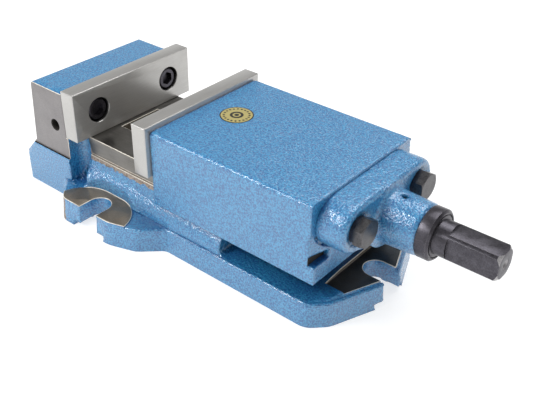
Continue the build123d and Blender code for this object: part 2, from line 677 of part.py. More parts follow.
def hood_holes():
    """Bores and screw holes of the hood."""
    holes = []
    jaw_depth = JAW_SCREW_GRIP - JAW_THICKNESS + COUNTERBORE_DEPTH + HOLE_SPARE
    bolt_tip = BRACKET_FRONT - SPOTFACE_DEPTH + SPRING_WASHER_THICKNESS - BOLT_GRIP
    for side in (-1, 1):
        jaw_y = side * JAW_SCREW_Y
        bolt_y = side * BOLT_Y
        holes.append(
            rod(
                JAW_SCREW_RADIUS + FIT,
                (HOOD_START - OVERCUT, jaw_y, JAW_SCREW_Z),
                (HOOD_START + jaw_depth, jaw_y, JAW_SCREW_Z),
            )
        )
        holes.append(
            rod(
                BOLT_RADIUS + FIT,
                (bolt_tip - HOLE_SPARE, bolt_y, BRACKET_BOLT_HEIGHT),
                (HOOD_SEAT + OVERCUT, bolt_y, BRACKET_BOLT_HEIGHT),
            )
        )
    clearance = LOCK_RING_RADIUS + BEARING_HOLE_CLEARANCE
    holes.append(rod(clearance, on_axis(HOOD_SEAT - HOOD_END_WALL - OVERCUT), on_axis(HOOD_SEAT + OVERCUT)))
    tip = THREAD_START - TIP_BORE_MARGIN
    holes.append(rod(TIP_BORE_RADIUS, on_axis(tip), on_axis(HOOD_START + HOOD_FRONT_WALL + OVERCUT)))
    top = KEEPER_BOTTOM + KEEPER_SCREW_HEAD + KEEPER_SCREW_GRIP + HOLE_SPARE / 2
    for x, y in keeper_screw_places():
        holes.append(rod(KEEPER_SCREW_RADIUS + FIT, (x, y, TONGUE_BOTTOM - OVERCUT), (x, y, top)))
    return Part() + holes


def keeper_screw_places():
    """The keeper's four screws, in plan."""
    middle = TONGUE_START + TONGUE_LENGTH / 2
    return [
        (middle + i * KEEPER_SCREW_PITCH_X / 2, j * KEEPER_SCREW_PITCH_Y / 2)
        for i in (-1, 1)
        for j in (-1, 1)
    ]


def keeper_plate():
    """The plate under the rail flanges that holds the hood down."""
    plate = block(
        (TONGUE_START, TONGUE_END),
        (-KEEPER_HALF_WIDTH, KEEPER_HALF_WIDTH),
        (KEEPER_BOTTOM, TONGUE_BOTTOM),
    )
    plate = chamfer(plate.edges().filter_by(Axis.Z), KEEPER_EDGE)
    for x, y in keeper_screw_places():
        below = (x, y, KEEPER_BOTTOM - OVERCUT)
        seat = (x, y, KEEPER_BOTTOM + KEEPER_SCREW_HEAD)
        plate -= rod(KEEPER_SCREW_RADIUS + FIT, below, (x, y, TONGUE_BOTTOM + OVERCUT))
        plate -= rod(KEEPER_SCREW_HEAD_RADIUS + HOLE_ROOM, below, seat)
    return plate


def bracket():
    """The bearing bracket: a flange with two bolt ends and the barrel on the spindle axis."""
    flange = along_vise(bracket_outline(), HOOD_SEAT, BRACKET_FRONT)
    front = flange.faces().sort_by(Axis.X)[-1]
    flange = fillet(front.edges(), BRACKET_EDGE)
    barrel = revolve(barrel_profile(), Axis(on_axis(0), (1, 0, 0)))
    body = flange + barrel
    for y in (-BOLT_Y, BOLT_Y):
        seat = (BRACKET_FRONT - SPOTFACE_DEPTH, y, BRACKET_BOLT_HEIGHT)
        body -= rod(SPOTFACE_RADIUS, seat, (BRACKET_FRONT + OVERCUT, y, BRACKET_BOLT_HEIGHT))
        body -= rod(BOLT_RADIUS + FIT, (HOOD_SEAT - OVERCUT, y, BRACKET_BOLT_HEIGHT), seat)
    body -= rod(BUSH_RADIUS + FIT, on_axis(HOOD_SEAT - OVERCUT), on_axis(BARREL_END + OVERCUT))
    return body - oil_hole()


def barrel_profile():
    """Half the barrel's section, in X and Z, with the fillet at its root."""
    middle = HOOD_SEAT + BRACKET_THICKNESS / 2
    root = AXIS_HEIGHT + BARREL_ROOT_RADIUS
    end = AXIS_HEIGHT + BARREL_END_RADIUS
    outline = FilletPolyline(
        (middle, AXIS_HEIGHT),
        (middle, root + BARREL_FILLET),
        (BRACKET_FRONT, root + BARREL_FILLET),
        (BRACKET_FRONT, root),
        (BARREL_END - BARREL_EDGE, end),
        (BARREL_END, end - BARREL_EDGE),
        (BARREL_END, AXIS_HEIGHT),
        radius=[0, 0, 0, BARREL_FILLET, 0, 0, 0],
        close=True,
    )
    return Plane.XZ * make_face(outline)


def oil_hole():
    """The vertical oil hole in the barrel's top."""
    x = BRACKET_FRONT + OIL_HOLE_SETBACK
    return rod(OIL_HOLE_RADIUS, on_axis(x), (x, 0, AXIS_HEIGHT + BARREL_ROOT_RADIUS + OVERCUT))


def bracket_bush():
    """The bush in the bracket, drilled for oil."""
    bush = tube(BUSH_RADIUS, JOURNAL_RADIUS + FIT, on_axis(HOOD_SEAT), on_axis(BARREL_END))
    return bush - oil_hole()


def spindle():
    """The screw spindle with its collar and square drive end."""
    stations = [
        (THREAD_START, 0),
        (THREAD_START, THREAD_RADIUS - THREAD_EDGE),
        (THREAD_START + THREAD_EDGE, THREAD_RADIUS),
        (THREAD_END, THREAD_RADIUS),
        (THREAD_END, RELIEF_RADIUS),
        (JOURNAL_START, RELIEF_RADIUS),
        (JOURNAL_START, JOURNAL_RADIUS),
        (COLLAR_START, JOURNAL_RADIUS),
        (COLLAR_START, COLLAR_RADIUS - COLLAR_EDGE / 3),
        (COLLAR_START + COLLAR_EDGE / 3, COLLAR_RADIUS),
        (COLLAR_END - COLLAR_EDGE, COLLAR_RADIUS),
        (COLLAR_END, COLLAR_RADIUS - COLLAR_EDGE),
        (COLLAR_END, DRIVE_RADIUS),
        (DRIVE_END - DRIVE_EDGE, DRIVE_RADIUS),
        (DRIVE_END, DRIVE_RADIUS - DRIVE_EDGE),
        (DRIVE_END, 0),
    ]
    outline = Plane.XZ * Pos(0, AXIS_HEIGHT) * polygon(*stations)
    shaft = revolve(outline, Axis(on_axis(0), (1, 0, 0)))
    groove = (on_axis(COLLAR_END - COLLAR_GROOVE_WIDTH), on_axis(COLLAR_END + OVERCUT))
    shaft -= tube(COLLAR_GROOVE_RADIUS + COLLAR_GROOVE_WIDTH, COLLAR_GROOVE_RADIUS, *groove)
    shaft -= drive_flats()
    middle = (LOCK_RING_START + LOCK_RING_END) / 2
    shaft -= rod(
        LOCK_PIN_RADIUS + FIT,
        (middle, 0, AXIS_HEIGHT - LOCK_RING_RADIUS),
        (middle, 0, AXIS_HEIGHT + LOCK_RING_RADIUS),
    )
    cone = Pos(*on_axis(DRIVE_END - CENTRE_HOLE_DEPTH / 2)) * Rot(0, 90, 0)
    return shaft - cone * Cone(CENTRE_HOLE_TIP, CENTRE_HOLE_RADIUS, CENTRE_HOLE_DEPTH)


def drive_flats():
    """What the cutter takes off the drive end to leave its square, with round run-outs."""
    start = DRIVE_END - DRIVE_SQUARE_LENGTH
    depth = DRIVE_RADIUS - DRIVE_FLATS / 2
    cut = block(
        (start - CUTTER_RADIUS, DRIVE_END + OVERCUT),
        (-DRIVE_RADIUS - OVERCUT, DRIVE_RADIUS + OVERCUT),
        (DRIVE_FLATS / 2, DRIVE_FLATS / 2 + CUTTER_RADIUS * 2),
    )
    run_out = block(
        (start - 2 * CUTTER_RADIUS, start),
        (-DRIVE_RADIUS - 2 * OVERCUT, DRIVE_RADIUS + 2 * OVERCUT),
        (0, CUTTER_RADIUS * 4),
    )
    wheel = rod(
        CUTTER_RADIUS,
        (start, -DRIVE_RADIUS - 2 * OVERCUT, DRIVE_FLATS / 2 + CUTTER_RADIUS),
        (start, DRIVE_RADIUS + 2 * OVERCUT, DRIVE_FLATS / 2 + CUTTER_RADIUS),
    )
    cut = (cut - run_out) + (cut & wheel)
    cuts = [Pos(*on_axis(0)) * Rot(turn, 0, 0) * cut for turn in (0, 90, 180, 270)]
    return Part() + cuts


def lock_ring():
    """The ring pinned to the spindle behind the bracket, which draws the hood back."""
    ring = tube(LOCK_RING_RADIUS, JOURNAL_RADIUS + FIT, on_axis(LOCK_RING_START), on_axis(LOCK_RING_END))
    middle = (LOCK_RING_START + LOCK_RING_END) / 2
    low = (middle, 0, AXIS_HEIGHT - LOCK_RING_RADIUS - OVERCUT)
    high = (middle, 0, AXIS_HEIGHT + LOCK_RING_RADIUS + OVERCUT)
    return ring - rod(LOCK_PIN_RADIUS + FIT, low, high)


def lock_pin():
    """The pin through the lock ring and the spindle."""
    middle = (LOCK_RING_START + LOCK_RING_END) / 2
    length = LOCK_RING_RADIUS - RUNNING
    return rod(LOCK_PIN_RADIUS, (middle, 0, AXIS_HEIGHT - length), (middle, 0, AXIS_HEIGHT + length))


def thrust_washer():
    """The washer between the lock ring and the bracket."""
    return tube(LOCK_RING_RADIUS, JOURNAL_RADIUS + FIT, on_axis(LOCK_RING_END), on_axis(WASHER_END))


def spindle_nut():
    """The nut, held in the channel between the rails."""
    width = CHANNEL_HALF_WIDTH - NUT_SIDE_PLAY
    body = block(
        (NUT_START, NUT_END),
        (-width, width),
        (NUT_SEAT_HEIGHT, AXIS_HEIGHT + NUT_CROWN),
    )
    body = chamfer(body.edges().filter_by(Axis.X).group_by(Axis.Z)[-1], NUT_EDGE)
    body -= rod(THREAD_RADIUS + RUNNING, on_axis(NUT_START - OVERCUT), on_axis(NUT_END + OVERCUT))
    top = NUT_SCREW_SEAT + NUT_SCREW_GRIP + HOLE_SPARE / 2
    for y in (-NUT_SCREW_SPACING / 2, NUT_SCREW_SPACING / 2):
        body -= rod(NUT_SCREW_RADIUS + FIT, (NUT_MIDDLE, y, NUT_SEAT_HEIGHT - OVERCUT), (NUT_MIDDLE, y, top))
    return body


def spring_washer():
    """A spring washer along Z, closed up flat, with its slit."""
    ring = Cylinder(SPRING_WASHER_RADIUS, SPRING_WASHER_THICKNESS)
    ring -= Cylinder(BOLT_RADIUS + FIT, SPRING_WASHER_THICKNESS + OVERCUT)
    slit = Pos(SPRING_WASHER_RADIUS / 2 + BOLT_RADIUS / 2, 0, 0) * Rot(WASHER_SLIT_ANGLE, 0, 0)
    slit *= Box(SPRING_WASHER_RADIUS, WASHER_SLIT, SPRING_WASHER_RADIUS)
    return Pos(0, 0, SPRING_WASHER_THICKNESS / 2) * (ring - slit)


def fasteners():
    """Every screw, bolt and washer in its place."""
    jaw = socket_screw(
        JAW_SCREW_RADIUS,
        JAW_SCREW_HEAD_RADIUS,
        JAW_SCREW_HEAD,
        JAW_SCREW_SOCKET,
        JAW_SCREW_GRIP,
    )
    keeper = socket_screw(
        KEEPER_SCREW_RADIUS,
        KEEPER_SCREW_HEAD_RADIUS,
        KEEPER_SCREW_HEAD,
        KEEPER_SCREW_SOCKET,
        KEEPER_SCREW_GRIP,
    )
    nut = socket_screw(
        NUT_SCREW_RADIUS,
        NUT_SCREW_HEAD_RADIUS,
        NUT_SCREW_HEAD,
        NUT_SCREW_SOCKET,
        NUT_SCREW_GRIP,
    )
    towards_drive = Rot(0, 90, 0)
    towards_jaw = Rot(0, -90, 0)
    downwards = Rot(180, 0, 0)
    placed = {}
    washer_seat = BRACKET_FRONT - SPOTFACE_DEPTH
    for name, side in (("near", -1), ("far", 1)):
        y = side * JAW_SCREW_Y
        bolt = (washer_seat + SPRING_WASHER_THICKNESS, side * BOLT_Y, BRACKET_BOLT_HEIGHT)
        fixed_seat = -COUNTERBORE_DEPTH
        moving_seat = JAW_OPENING + COUNTERBORE_DEPTH
        placed[f"fixed_jaw_screw_{name}"] = Pos(fixed_seat, y, JAW_SCREW_Z) * towards_drive * jaw
        placed[f"moving_jaw_screw_{name}"] = Pos(moving_seat, y, JAW_SCREW_Z) * towards_jaw * jaw
        placed[f"bracket_bolt_{name}"] = Pos(*bolt) * towards_drive * hex_bolt()
        placed[f"bracket_washer_{name}"] = (
            Pos(washer_seat, side * BOLT_Y, BRACKET_BOLT_HEIGHT) * towards_drive * spring_washer()
        )
        placed[f"nut_screw_{name}"] = (
            Pos(NUT_MIDDLE, side * NUT_SCREW_SPACING / 2, NUT_SCREW_SEAT) * downwards * nut
        )
    for number, (x, y) in enumerate(keeper_screw_places(), start=1):
        seat = KEEPER_BOTTOM + KEEPER_SCREW_HEAD
        placed[f"keeper_screw_{number}"] = Pos(x, y, seat) * downwards * keeper
    return placed


def vise():
    """Every piece of the vise by its name."""
    pieces = {
        "base_casting": base_casting(),
        "fixed_jaw_plate": jaw_plate(-JAW_THICKNESS, 0.0),
        "moving_jaw": moving_jaw(),
        "moving_jaw_plate": jaw_plate(HOOD_START, JAW_OPENING),
        "keeper_plate": keeper_plate(),
        "bracket": bracket(),
        "bracket_bush": bracket_bush(),
        "spindle": spindle(),
        "lock_ring": lock_ring(),
        "lock_pin": lock_pin(),
        "thrust_washer": thrust_washer(),
        "spindle_nut": spindle_nut(),
    }
    pieces.update(fasteners())
    return pieces


os.makedirs("parts", exist_ok=True)
for name, piece in vise().items():
    export_step(piece, f"parts/{name}.step")
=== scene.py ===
"""A milling machine vise: cast blue castings, ground jaw plates and a blackened spindle.

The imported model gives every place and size. This script dresses it: castings with the soft
corners of a mould and bare machined faces, real threads, screw heads with their sockets, a
sticker, and the finish of each of them.
"""

from __future__ import annotations

import json
import logging
import math
from dataclasses import dataclass, field
from enum import Enum
from typing import Any, Callable

import bmesh
import bpy
from mathutils import Euler, Matrix, Vector, kdtree, noise

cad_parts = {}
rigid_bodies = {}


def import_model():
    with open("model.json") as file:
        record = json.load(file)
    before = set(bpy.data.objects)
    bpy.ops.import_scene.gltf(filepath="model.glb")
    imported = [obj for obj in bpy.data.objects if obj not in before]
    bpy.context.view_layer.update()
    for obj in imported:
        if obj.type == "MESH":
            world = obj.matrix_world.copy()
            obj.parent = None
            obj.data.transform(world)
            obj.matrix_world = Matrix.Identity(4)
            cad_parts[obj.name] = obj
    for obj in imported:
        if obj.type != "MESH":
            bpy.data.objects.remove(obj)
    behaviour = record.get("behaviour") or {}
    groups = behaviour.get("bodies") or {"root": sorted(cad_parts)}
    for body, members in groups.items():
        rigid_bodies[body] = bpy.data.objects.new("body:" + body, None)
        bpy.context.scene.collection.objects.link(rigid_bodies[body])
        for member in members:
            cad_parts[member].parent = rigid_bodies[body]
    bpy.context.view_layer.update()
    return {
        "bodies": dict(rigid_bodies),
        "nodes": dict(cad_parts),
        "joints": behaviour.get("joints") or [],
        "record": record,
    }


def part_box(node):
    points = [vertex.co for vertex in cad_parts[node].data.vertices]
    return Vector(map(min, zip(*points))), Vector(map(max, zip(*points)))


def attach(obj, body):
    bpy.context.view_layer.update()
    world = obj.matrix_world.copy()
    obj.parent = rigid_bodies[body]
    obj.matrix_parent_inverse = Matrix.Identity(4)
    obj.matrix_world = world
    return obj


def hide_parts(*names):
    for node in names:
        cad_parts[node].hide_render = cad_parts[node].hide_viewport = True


LOG = logging.getLogger("vise")
MM = 0.001
SHARP = math.radians(32)  # edges that bend more than this are drawn sharp
ONE_FACE = math.radians(0.6)  # triangles that bend less than this are one flat face
Tree = bpy.types.NodeTree
Socket = bpy.types.NodeSocket
Inputs = dict[Any, Any] | tuple[Any, ...] | None


def linear(hex_colour: str) -> tuple[float, float, float, float]:
    """Turns an sRGB hex colour into linear light.

    Args:
        hex_colour: Six hex digits, with or without a leading hash.

    Returns:
        Red, green and blue from 0 to 1, and a full fourth channel.
    """
    digits = hex_colour.lstrip("#")
    channels = [int(digits[i : i + 2], 16) / 255 for i in (0, 2, 4)]
    red, green, blue = (c / 12.92 if c <= 0.04045 else ((c + 0.055) / 1.055) ** 2.4 for c in channels)
    return red, green, blue, 1.0


def add(tree: Tree, kind: str, inputs: Inputs = None, **settings: Any) -> bpy.types.Node:
    """Adds one node with its settings and links.

    Args:
        tree: The tree that gets the node.
        kind: The node's type name.
        inputs: For its inputs, by name or number, or in order: a value, a socket, a node, which
            gives its first output, or a list of sockets and nodes.
        settings: Properties of the node itself.

    Returns:
        The new node.
    """
    made = tree.nodes.new(kind)
    for name, value in settings.items():
        setattr(made, name, value)
    if isinstance(inputs, tuple):
        inputs = dict(enumerate(inputs))
    for key, value in (inputs or {}).items():
        if isinstance(key, int):
            target = made.inputs[key]
        else:
            target = next(socket for socket in made.inputs if socket.name == key and socket.enabled)
        for item in value if isinstance(value, list) else [value]:
            if isinstance(item, bpy.types.Node):
                item = next(socket for socket in item.outputs if socket.enabled)
            if isinstance(item, bpy.types.NodeSocket):
                tree.links.new(item, target)
            else:
                target.default_value = item
    return made


# --- finishes


class Grain(Enum):
    """Which way a tool left its marks, as the squeeze of a pattern along each axis."""

    ALONG_X = (0.03, 1.0, 1.0)
    ALONG_Y = (1.0, 0.03, 1.0)
    NONE = (1.0, 1.0, 1.0)


@dataclass(frozen=True)
class Finish:
    """A surface finish that builds its own material."""

    name: str

    def material(self) -> bpy.types.Material:
        """Returns the material, built once and then shared."""
        found = bpy.data.materials.get(self.name)
        if found:
            return found
        made = bpy.data.materials.new(self.name)
        made.use_nodes = True
        tree = made.node_tree
        tree.nodes.clear()
        shader = add(tree, "ShaderNodeBsdfPrincipled")
        add(tree, "ShaderNodeOutputMaterial", {"Surface": shader})
        self.build(tree, shader, add(tree, "ShaderNodeTexCoord").outputs["Object"])
        return made

    def build(self, tree: Tree, shader: bpy.types.Node, place: Socket) -> None:
        """Fills the material's tree.

        Args:
            tree: The material's node tree.
            shader: Its Principled shader.
            place: Object coordinates, in metres.
        """
        raise NotImplementedError


@dataclass(frozen=True)
class HammerEnamel(Finish):
    """Hammer-finish enamel sprayed over cast iron: blue, faintly metallic, with small dimples.

    The flakes and the clear film over the dimples make pale faces where it mirrors the light
    floor, and a glitter along rounded edges. Upward faces in the lee of other parts are painted a darker blue as
    painted shade, by an occlusion node.
    """

    light: str = "#359cd0"
    dark: str = "#0b619f"
    shade_blue: str = "#05417f"
    shelter: float = 32 * MM  # how near the walls are that keep the light off a hollow
    dimple: float = 1.6 * MM
    relief: float = 0.34 * MM
    metallic: float = 0.1
    roughness: float = 0.5
    film_roughness: float = 0.18
    film_index: float = 1.9

    def build(self, tree: Tree, shader: bpy.types.Node, place: Socket) -> None:
        """Dimples of the enamel over the slow unevenness of the casting."""
        cells = add(
            tree, "ShaderNodeTexVoronoi", {"Vector": place, "Scale": 1 / self.dimple, "Smoothness": 0.7},
            feature="SMOOTH_F1",
        )
        grit = {"Vector": place, "Scale": 1.3 / self.dimple, "Detail": 2.0, "Roughness": 0.6}
        fine = add(tree, "ShaderNodeTexNoise", grit)
        height = add(tree, "ShaderNodeMath", (cells, fine), operation="ADD")
        uneven = add(tree, "ShaderNodeTexNoise", {"Vector": place, "Scale": 1 / (15 * MM), "Detail": 2.0})
        tone = add(tree, "ShaderNodeMapRange", {"Value": fine, 1: 0.38, 2: 0.62})
        tint = {"Factor": tone, "A": linear(self.dark), "B": linear(self.light)}
        skin_colour = add(tree, "ShaderNodeMix", tint, data_type="RGBA").outputs[2]
        # Painted shade: where walls are near, upward faces are mixed towards the shade blue.
        hollow = add(tree, "ShaderNodeAmbientOcclusion", {"Distance": self.shelter}, samples=8)
        closed = add(tree, "ShaderNodeMapRange", {"Value": hollow.outputs["AO"], 1: 0.95, 2: 0.5, 3: 0.0, 4: 0.8})
        facing = add(tree, "ShaderNodeSeparateXYZ", (add(tree, "ShaderNodeTexCoord").outputs["Normal"],))
        upward = add(tree, "ShaderNodeMapRange", {"Value": facing.outputs[2], 1: 0.1, 2: 0.7})
        painted_shade = add(tree, "ShaderNodeMath", (closed, upward), operation="MULTIPLY")
        shade_mix = {"Factor": painted_shade, "A": skin_colour, "B": linear(self.shade_blue)}
        colour = add(tree, "ShaderNodeMix", shade_mix, data_type="RGBA")
        swell = add(tree, "ShaderNodeBump", {"Height": uneven, "Distance": 0.35 * MM, "Strength": 0.5})
        bump = {"Height": height, "Distance": self.relief, "Strength": 1.0, "Normal": swell}
        skin = add(tree, "ShaderNodeBump", bump)
        tree.links.new(colour.outputs[2], shader.inputs["Base Color"])
        tree.links.new(skin.outputs[0], shader.inputs["Normal"])
        tree.links.new(skin.outputs[0], shader.inputs["Coat Normal"])
        shader.inputs["Metallic"].default_value = self.metallic
        shader.inputs["Roughness"].default_value = self.roughness
        shader.inputs["Coat Weight"].default_value = 1.0
        shader.inputs["Coat Roughness"].default_value = self.film_roughness
        shader.inputs["Coat IOR"].default_value = self.film_index


@dataclass(frozen=True)
class WorkedMetal(Finish):
    """Bare metal with the marks of the tool that cut it and slow changes of tone."""

    light: str = "#cbcac8"
    dark: str = "#b3b1af"
    grain: Grain = Grain.NONE
    mark: float = 0.5 * MM
    relief: float = 0.008 * MM
    roughness: float = 0.34
    metallic: float = 1.0
    stain: float = 18 * MM
    patchy: float = 0.05  # how far the roughness swings from stain to stain
    lines: float = 0.45  # share of the tool marks in the tone, the rest is stain

    def build(self, tree: Tree, shader: bpy.types.Node, place: Socket) -> None:
        """Tool marks along the grain, with slow changes of tone."""
        squeezed = add(tree, "ShaderNodeMapping", {"Vector": place, "Scale": self.grain.value})
        grit = {"Vector": squeezed, "Scale": 1 / self.mark, "Detail": 3.0, "Roughness": 0.6}
        marks = add(tree, "ShaderNodeTexNoise", grit)
        cloud = {"Vector": place, "Scale": 1 / self.stain, "Detail": 4.0, "Roughness": 0.6}
        slow = add(tree, "ShaderNodeTexNoise", cloud)
        both = add(tree, "ShaderNodeMix", {"Factor": self.lines, "A": slow, "B": marks})
        tone = add(tree, "ShaderNodeMapRange", {"Value": both, 1: 0.35, 2: 0.65})
        tint = {"Factor": tone, "A": linear(self.dark), "B": linear(self.light)}
        colour = add(tree, "ShaderNodeMix", tint, data_type="RGBA")
        sheen = {"Value": slow, 1: 0.3, 2: 0.7, 3: self.roughness - self.patchy, 4: self.roughness + self.patchy}
        tree.links.new(colour.outputs[2], shader.inputs["Base Color"])
        tree.links.new(add(tree, "ShaderNodeMapRange", sheen).outputs[0], shader.inputs["Roughness"])
        bump = add(tree, "ShaderNodeBump", {"Height": marks, "Distance": self.relief, "Strength": 0.7})
        tree.links.new(bump.outputs[0], shader.inputs["Normal"])
        shader.inputs["Metallic"].default_value = self.metallic


@dataclass(frozen=True)
class PrintedVinyl(Finish):
    """A round printed label: a cream field with dark rings and a ring of dots, glossy."""

    centre: tuple[float, float] = (109.0 * MM, 2.0 * MM)
    radius: float = 12.7 * MM
    field_colour: str = "#c6c28d"
    middle_colour: str = "#b1a465"
    ink: str = "#1f1b10"
    dots: int = 20
    dot_band: tuple[float, float] = (0.68, 0.82)
    # Rings by the share of the radius where each begins, from the middle out.
    rings: tuple[tuple[float, bool], ...] = ((0.0, True), (0.14, False), (0.24, True), (0.40, False), (0.93, True))

    def build(self, tree: Tree, shader: bpy.types.Node, place: Socket) -> None:
        """Rings by the distance from the label's middle, dots by the angle round it."""
        shift = (-self.centre[0], -self.centre[1], 0.0)
        centred = add(tree, "ShaderNodeMapping", {"Vector": place, "Location": shift})
        parts = add(tree, "ShaderNodeSeparateXYZ", (centred,))
        flat = add(tree, "ShaderNodeCombineXYZ", (parts.outputs[0], parts.outputs[1]))
        away = add(tree, "ShaderNodeVectorMath", (flat,), operation="LENGTH").outputs["Value"]
        share = add(tree, "ShaderNodeMath", (away, self.radius), operation="DIVIDE")
        bands = add(tree, "ShaderNodeValToRGB", {"Fac": share})
        bands.color_ramp.interpolation = "CONSTANT"
        elements = bands.color_ramp.elements
        while len(elements) < len(self.rings):
            elements.new(0.5)
        for element, (start, inked) in zip(elements, self.rings):
            element.position = start
            middle = self.middle_colour if start < 0.5 else self.field_colour
            element.color = linear(self.ink if inked else middle)
        angle = add(tree, "ShaderNodeMath", (parts.outputs[1], parts.outputs[0]), operation="ARCTAN2")
        turns = add(tree, "ShaderNodeMath", (angle, float(self.dots)), operation="MULTIPLY")
        wave = add(tree, "ShaderNodeMath", (turns,), operation="COSINE")
        middle = sum(self.dot_band) / 2
        half = (self.dot_band[1] - self.dot_band[0]) / 2
        off = add(tree, "ShaderNodeMath", (share, middle), operation="SUBTRACT")
        off = add(tree, "ShaderNodeMath", (off, half), operation="DIVIDE")
        off = add(tree, "ShaderNodeMath", (off, 2.0), operation="POWER")
        dot = add(tree, "ShaderNodeMath", (wave, off), operation="SUBTRACT")
        dot = add(tree, "ShaderNodeMapRange", {"Value": dot, 1: -0.3, 2: -0.1})
        printed = {"Factor": dot, "A": bands, "B": linear(self.ink)}
        colour = add(tree, "ShaderNodeMix", printed, data_type="RGBA")
        tree.links.new(colour.outputs[2], shader.inputs["Base Color"])
        shader.inputs["Roughness"].default_value = 0.35
        shader.inputs["Coat Weight"].default_value = 0.6
        shader.inputs["Coat Roughness"].default_value = 0.15


# Enamel over the castings. It looks pale where it mirrors the floor and is painted darker in upward-facing corners as
# painted shade.
PAINT = HammerEnamel("hammer_enamel_blue")
# Hardened jaw plates, surface ground: fine lines across the vise and a soft mirror.
GROUND_STEEL = WorkedMetal(
    "surface_ground_steel", light="#cac9c6", dark="#b7b5b2", grain=Grain.ALONG_Y, roughness=0.3, metallic=0.65,
    stain=60 * MM, patchy=0.01,
)
# Inside of the counterbores, left by the cutter: painted darker than the ground face as painted shade.
BORE_SHADE_STEEL = WorkedMetal("counterbore_painted_shade_steel", light="#4b4a49", dark="#353433", roughness=0.45)
# Tops and sides of the rails: cast iron ground along its length, greyer than steel.
GROUND_IRON = WorkedMetal(
    "ground_cast_iron", light="#8c8a86", dark="#6f6d6a", grain=Grain.ALONG_X, roughness=0.33
)
# Pads and the milled ledge: open-grained iron with a brown cast.
MILLED_IRON = WorkedMetal(
    "milled_cast_iron", light="#978e81", dark="#776e63", mark=0.8 * MM, relief=0.02 * MM, roughness=0.42,
    metallic=0.8,
)
# The pad under the bracket: milled iron, darker than the other pads.
DARKER_PAD_IRON = WorkedMetal(
    "darker_milled_iron", light="#56585a", dark="#303336", mark=0.8 * MM, relief=0.02 * MM, roughness=0.4,
    metallic=0.8,
)
# Near side of the fixed jaw block, fly cut: a light warm grey with dark pores.
FLY_CUT_IRON = WorkedMetal(
    "fly_cut_cast_iron", light="#9d9a9a", dark="#848182", mark=0.6 * MM, relief=0.01 * MM, roughness=0.42,
)
# Faces that stay as they came from the mould, inside the hood and in the openings below; the same dark colour is
# painted as shade on the hood's seams.
RAW_IRON_AND_SEAM_SHADE = WorkedMetal(
    "raw_cast_iron_and_seam_shade", light="#35312d", dark="#1d1a18", mark=1.2 * MM, relief=0.12 * MM, roughness=0.75, metallic=0.3
)
# The narrow strip below the rails where the grinding wheel only touched the skin of the casting.
TOUCHED_SKIN = WorkedMetal(
    "half_cleaned_cast_skin", light="#b5a69b", dark="#5f564e", mark=1.6 * MM, relief=0.15 * MM, roughness=0.5,
    metallic=0.5, lines=0.9,
)
# The bare line where a cutter broke through the enamel, painted near white as a highlight along the edge.
BARE_RIM_HIGHLIGHT = WorkedMetal(
    "filed_edge_painted_highlight", light="#f3eee2", dark="#cfc8ba", mark=0.9 * MM, roughness=0.45, metallic=0.3
)
# Black oxide on screws, bolts and the spindle: near black with a grey sheen.
BLACK_OXIDE = WorkedMetal(
    "black_oxide_steel", light="#605e65", dark="#3d3b40", mark=0.9 * MM, relief=0.02 * MM, roughness=0.36,
    metallic=0.9, stain=7 * MM,
)
# Corners of the blackened parts, rubbed down to grey steel and lightened as a painted highlight.
WORN_EDGE_HIGHLIGHT = WorkedMetal(
    "rubbed_edge_painted_highlight", light="#c9c7c8", dark="#8b898c", mark=0.8 * MM, roughness=0.4, metallic=0.65
)
TURNED_STEEL = WorkedMetal("turned_steel", light="#b4b2af", dark="#92908d", mark=0.4 * MM, roughness=0.3)
# Hexagon heads: the oxide is thinner and browner than on the spindle.
BROWN_OXIDE = WorkedMetal(
    "dulled_oxide_steel", light="#6b6a6b", dark="#424144", mark=0.9 * MM, relief=0.02 * MM, roughness=0.33,
    metallic=0.9, stain=5 * MM,
)
BRONZE = WorkedMetal("turned_bronze", light="#b58a4e", dark="#8d6733", mark=0.4 * MM, roughness=0.32)
LABEL = PrintedVinyl("printed_vinyl")


# --- pieces


def flatten(mesh: bpy.types.Mesh, least: float = 0.01, most: float = 0.45) -> None:
    """Shades a face flat unless it bends softly into a neighbour.

    A plane next to a bevel would else look rounded from edge to edge.

    Args:
        mesh: The mesh to shade.
        least: The smallest soft bend, in radians.
        most: The largest soft bend.
    """
    shape = bmesh.new()
    shape.from_mesh(mesh)
    for face in shape.faces:
        face.smooth = any(
            len(edge.link_faces) == 2 and least < abs(edge.calc_face_angle()) < most for edge in face.edges
        )
    shape.to_mesh(mesh)
    shape.free()


@dataclass
class Piece:
    """A visible piece: what it moves with, what it is made of and what it stands for."""

    name: str
    body: str
    slot: str
    replaces: tuple[str, ...] = ()

    def place(self, made: bpy.types.Object) -> bpy.types.Object:
        """Hands a finished object to the frame.

        Args:
            made: The object, at the origin, with its place in its mesh.

        Returns:
            The same object.
        """
        made.data.set_sharp_from_angle(angle=SHARP)
        flatten(made.data)
        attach(made, self.body)
        if self.replaces:
            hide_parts(*self.replaces)
        LOG.info("%s rides on %s, %d faces", made.name, self.body, len(made.data.polygons))
        return made


def new_object(name: str, mesh: bpy.types.Mesh) -> bpy.types.Object:
    """Puts a mesh into the scene.

    Args:
        name: Name of the object.
        mesh: Its mesh.

    Returns:
        The linked object.
    """
    made = bpy.data.objects.new(name, mesh)
    bpy.context.scene.collection.objects.link(made)
    return made


Rule = Callable[[Vector, Vector], Finish]


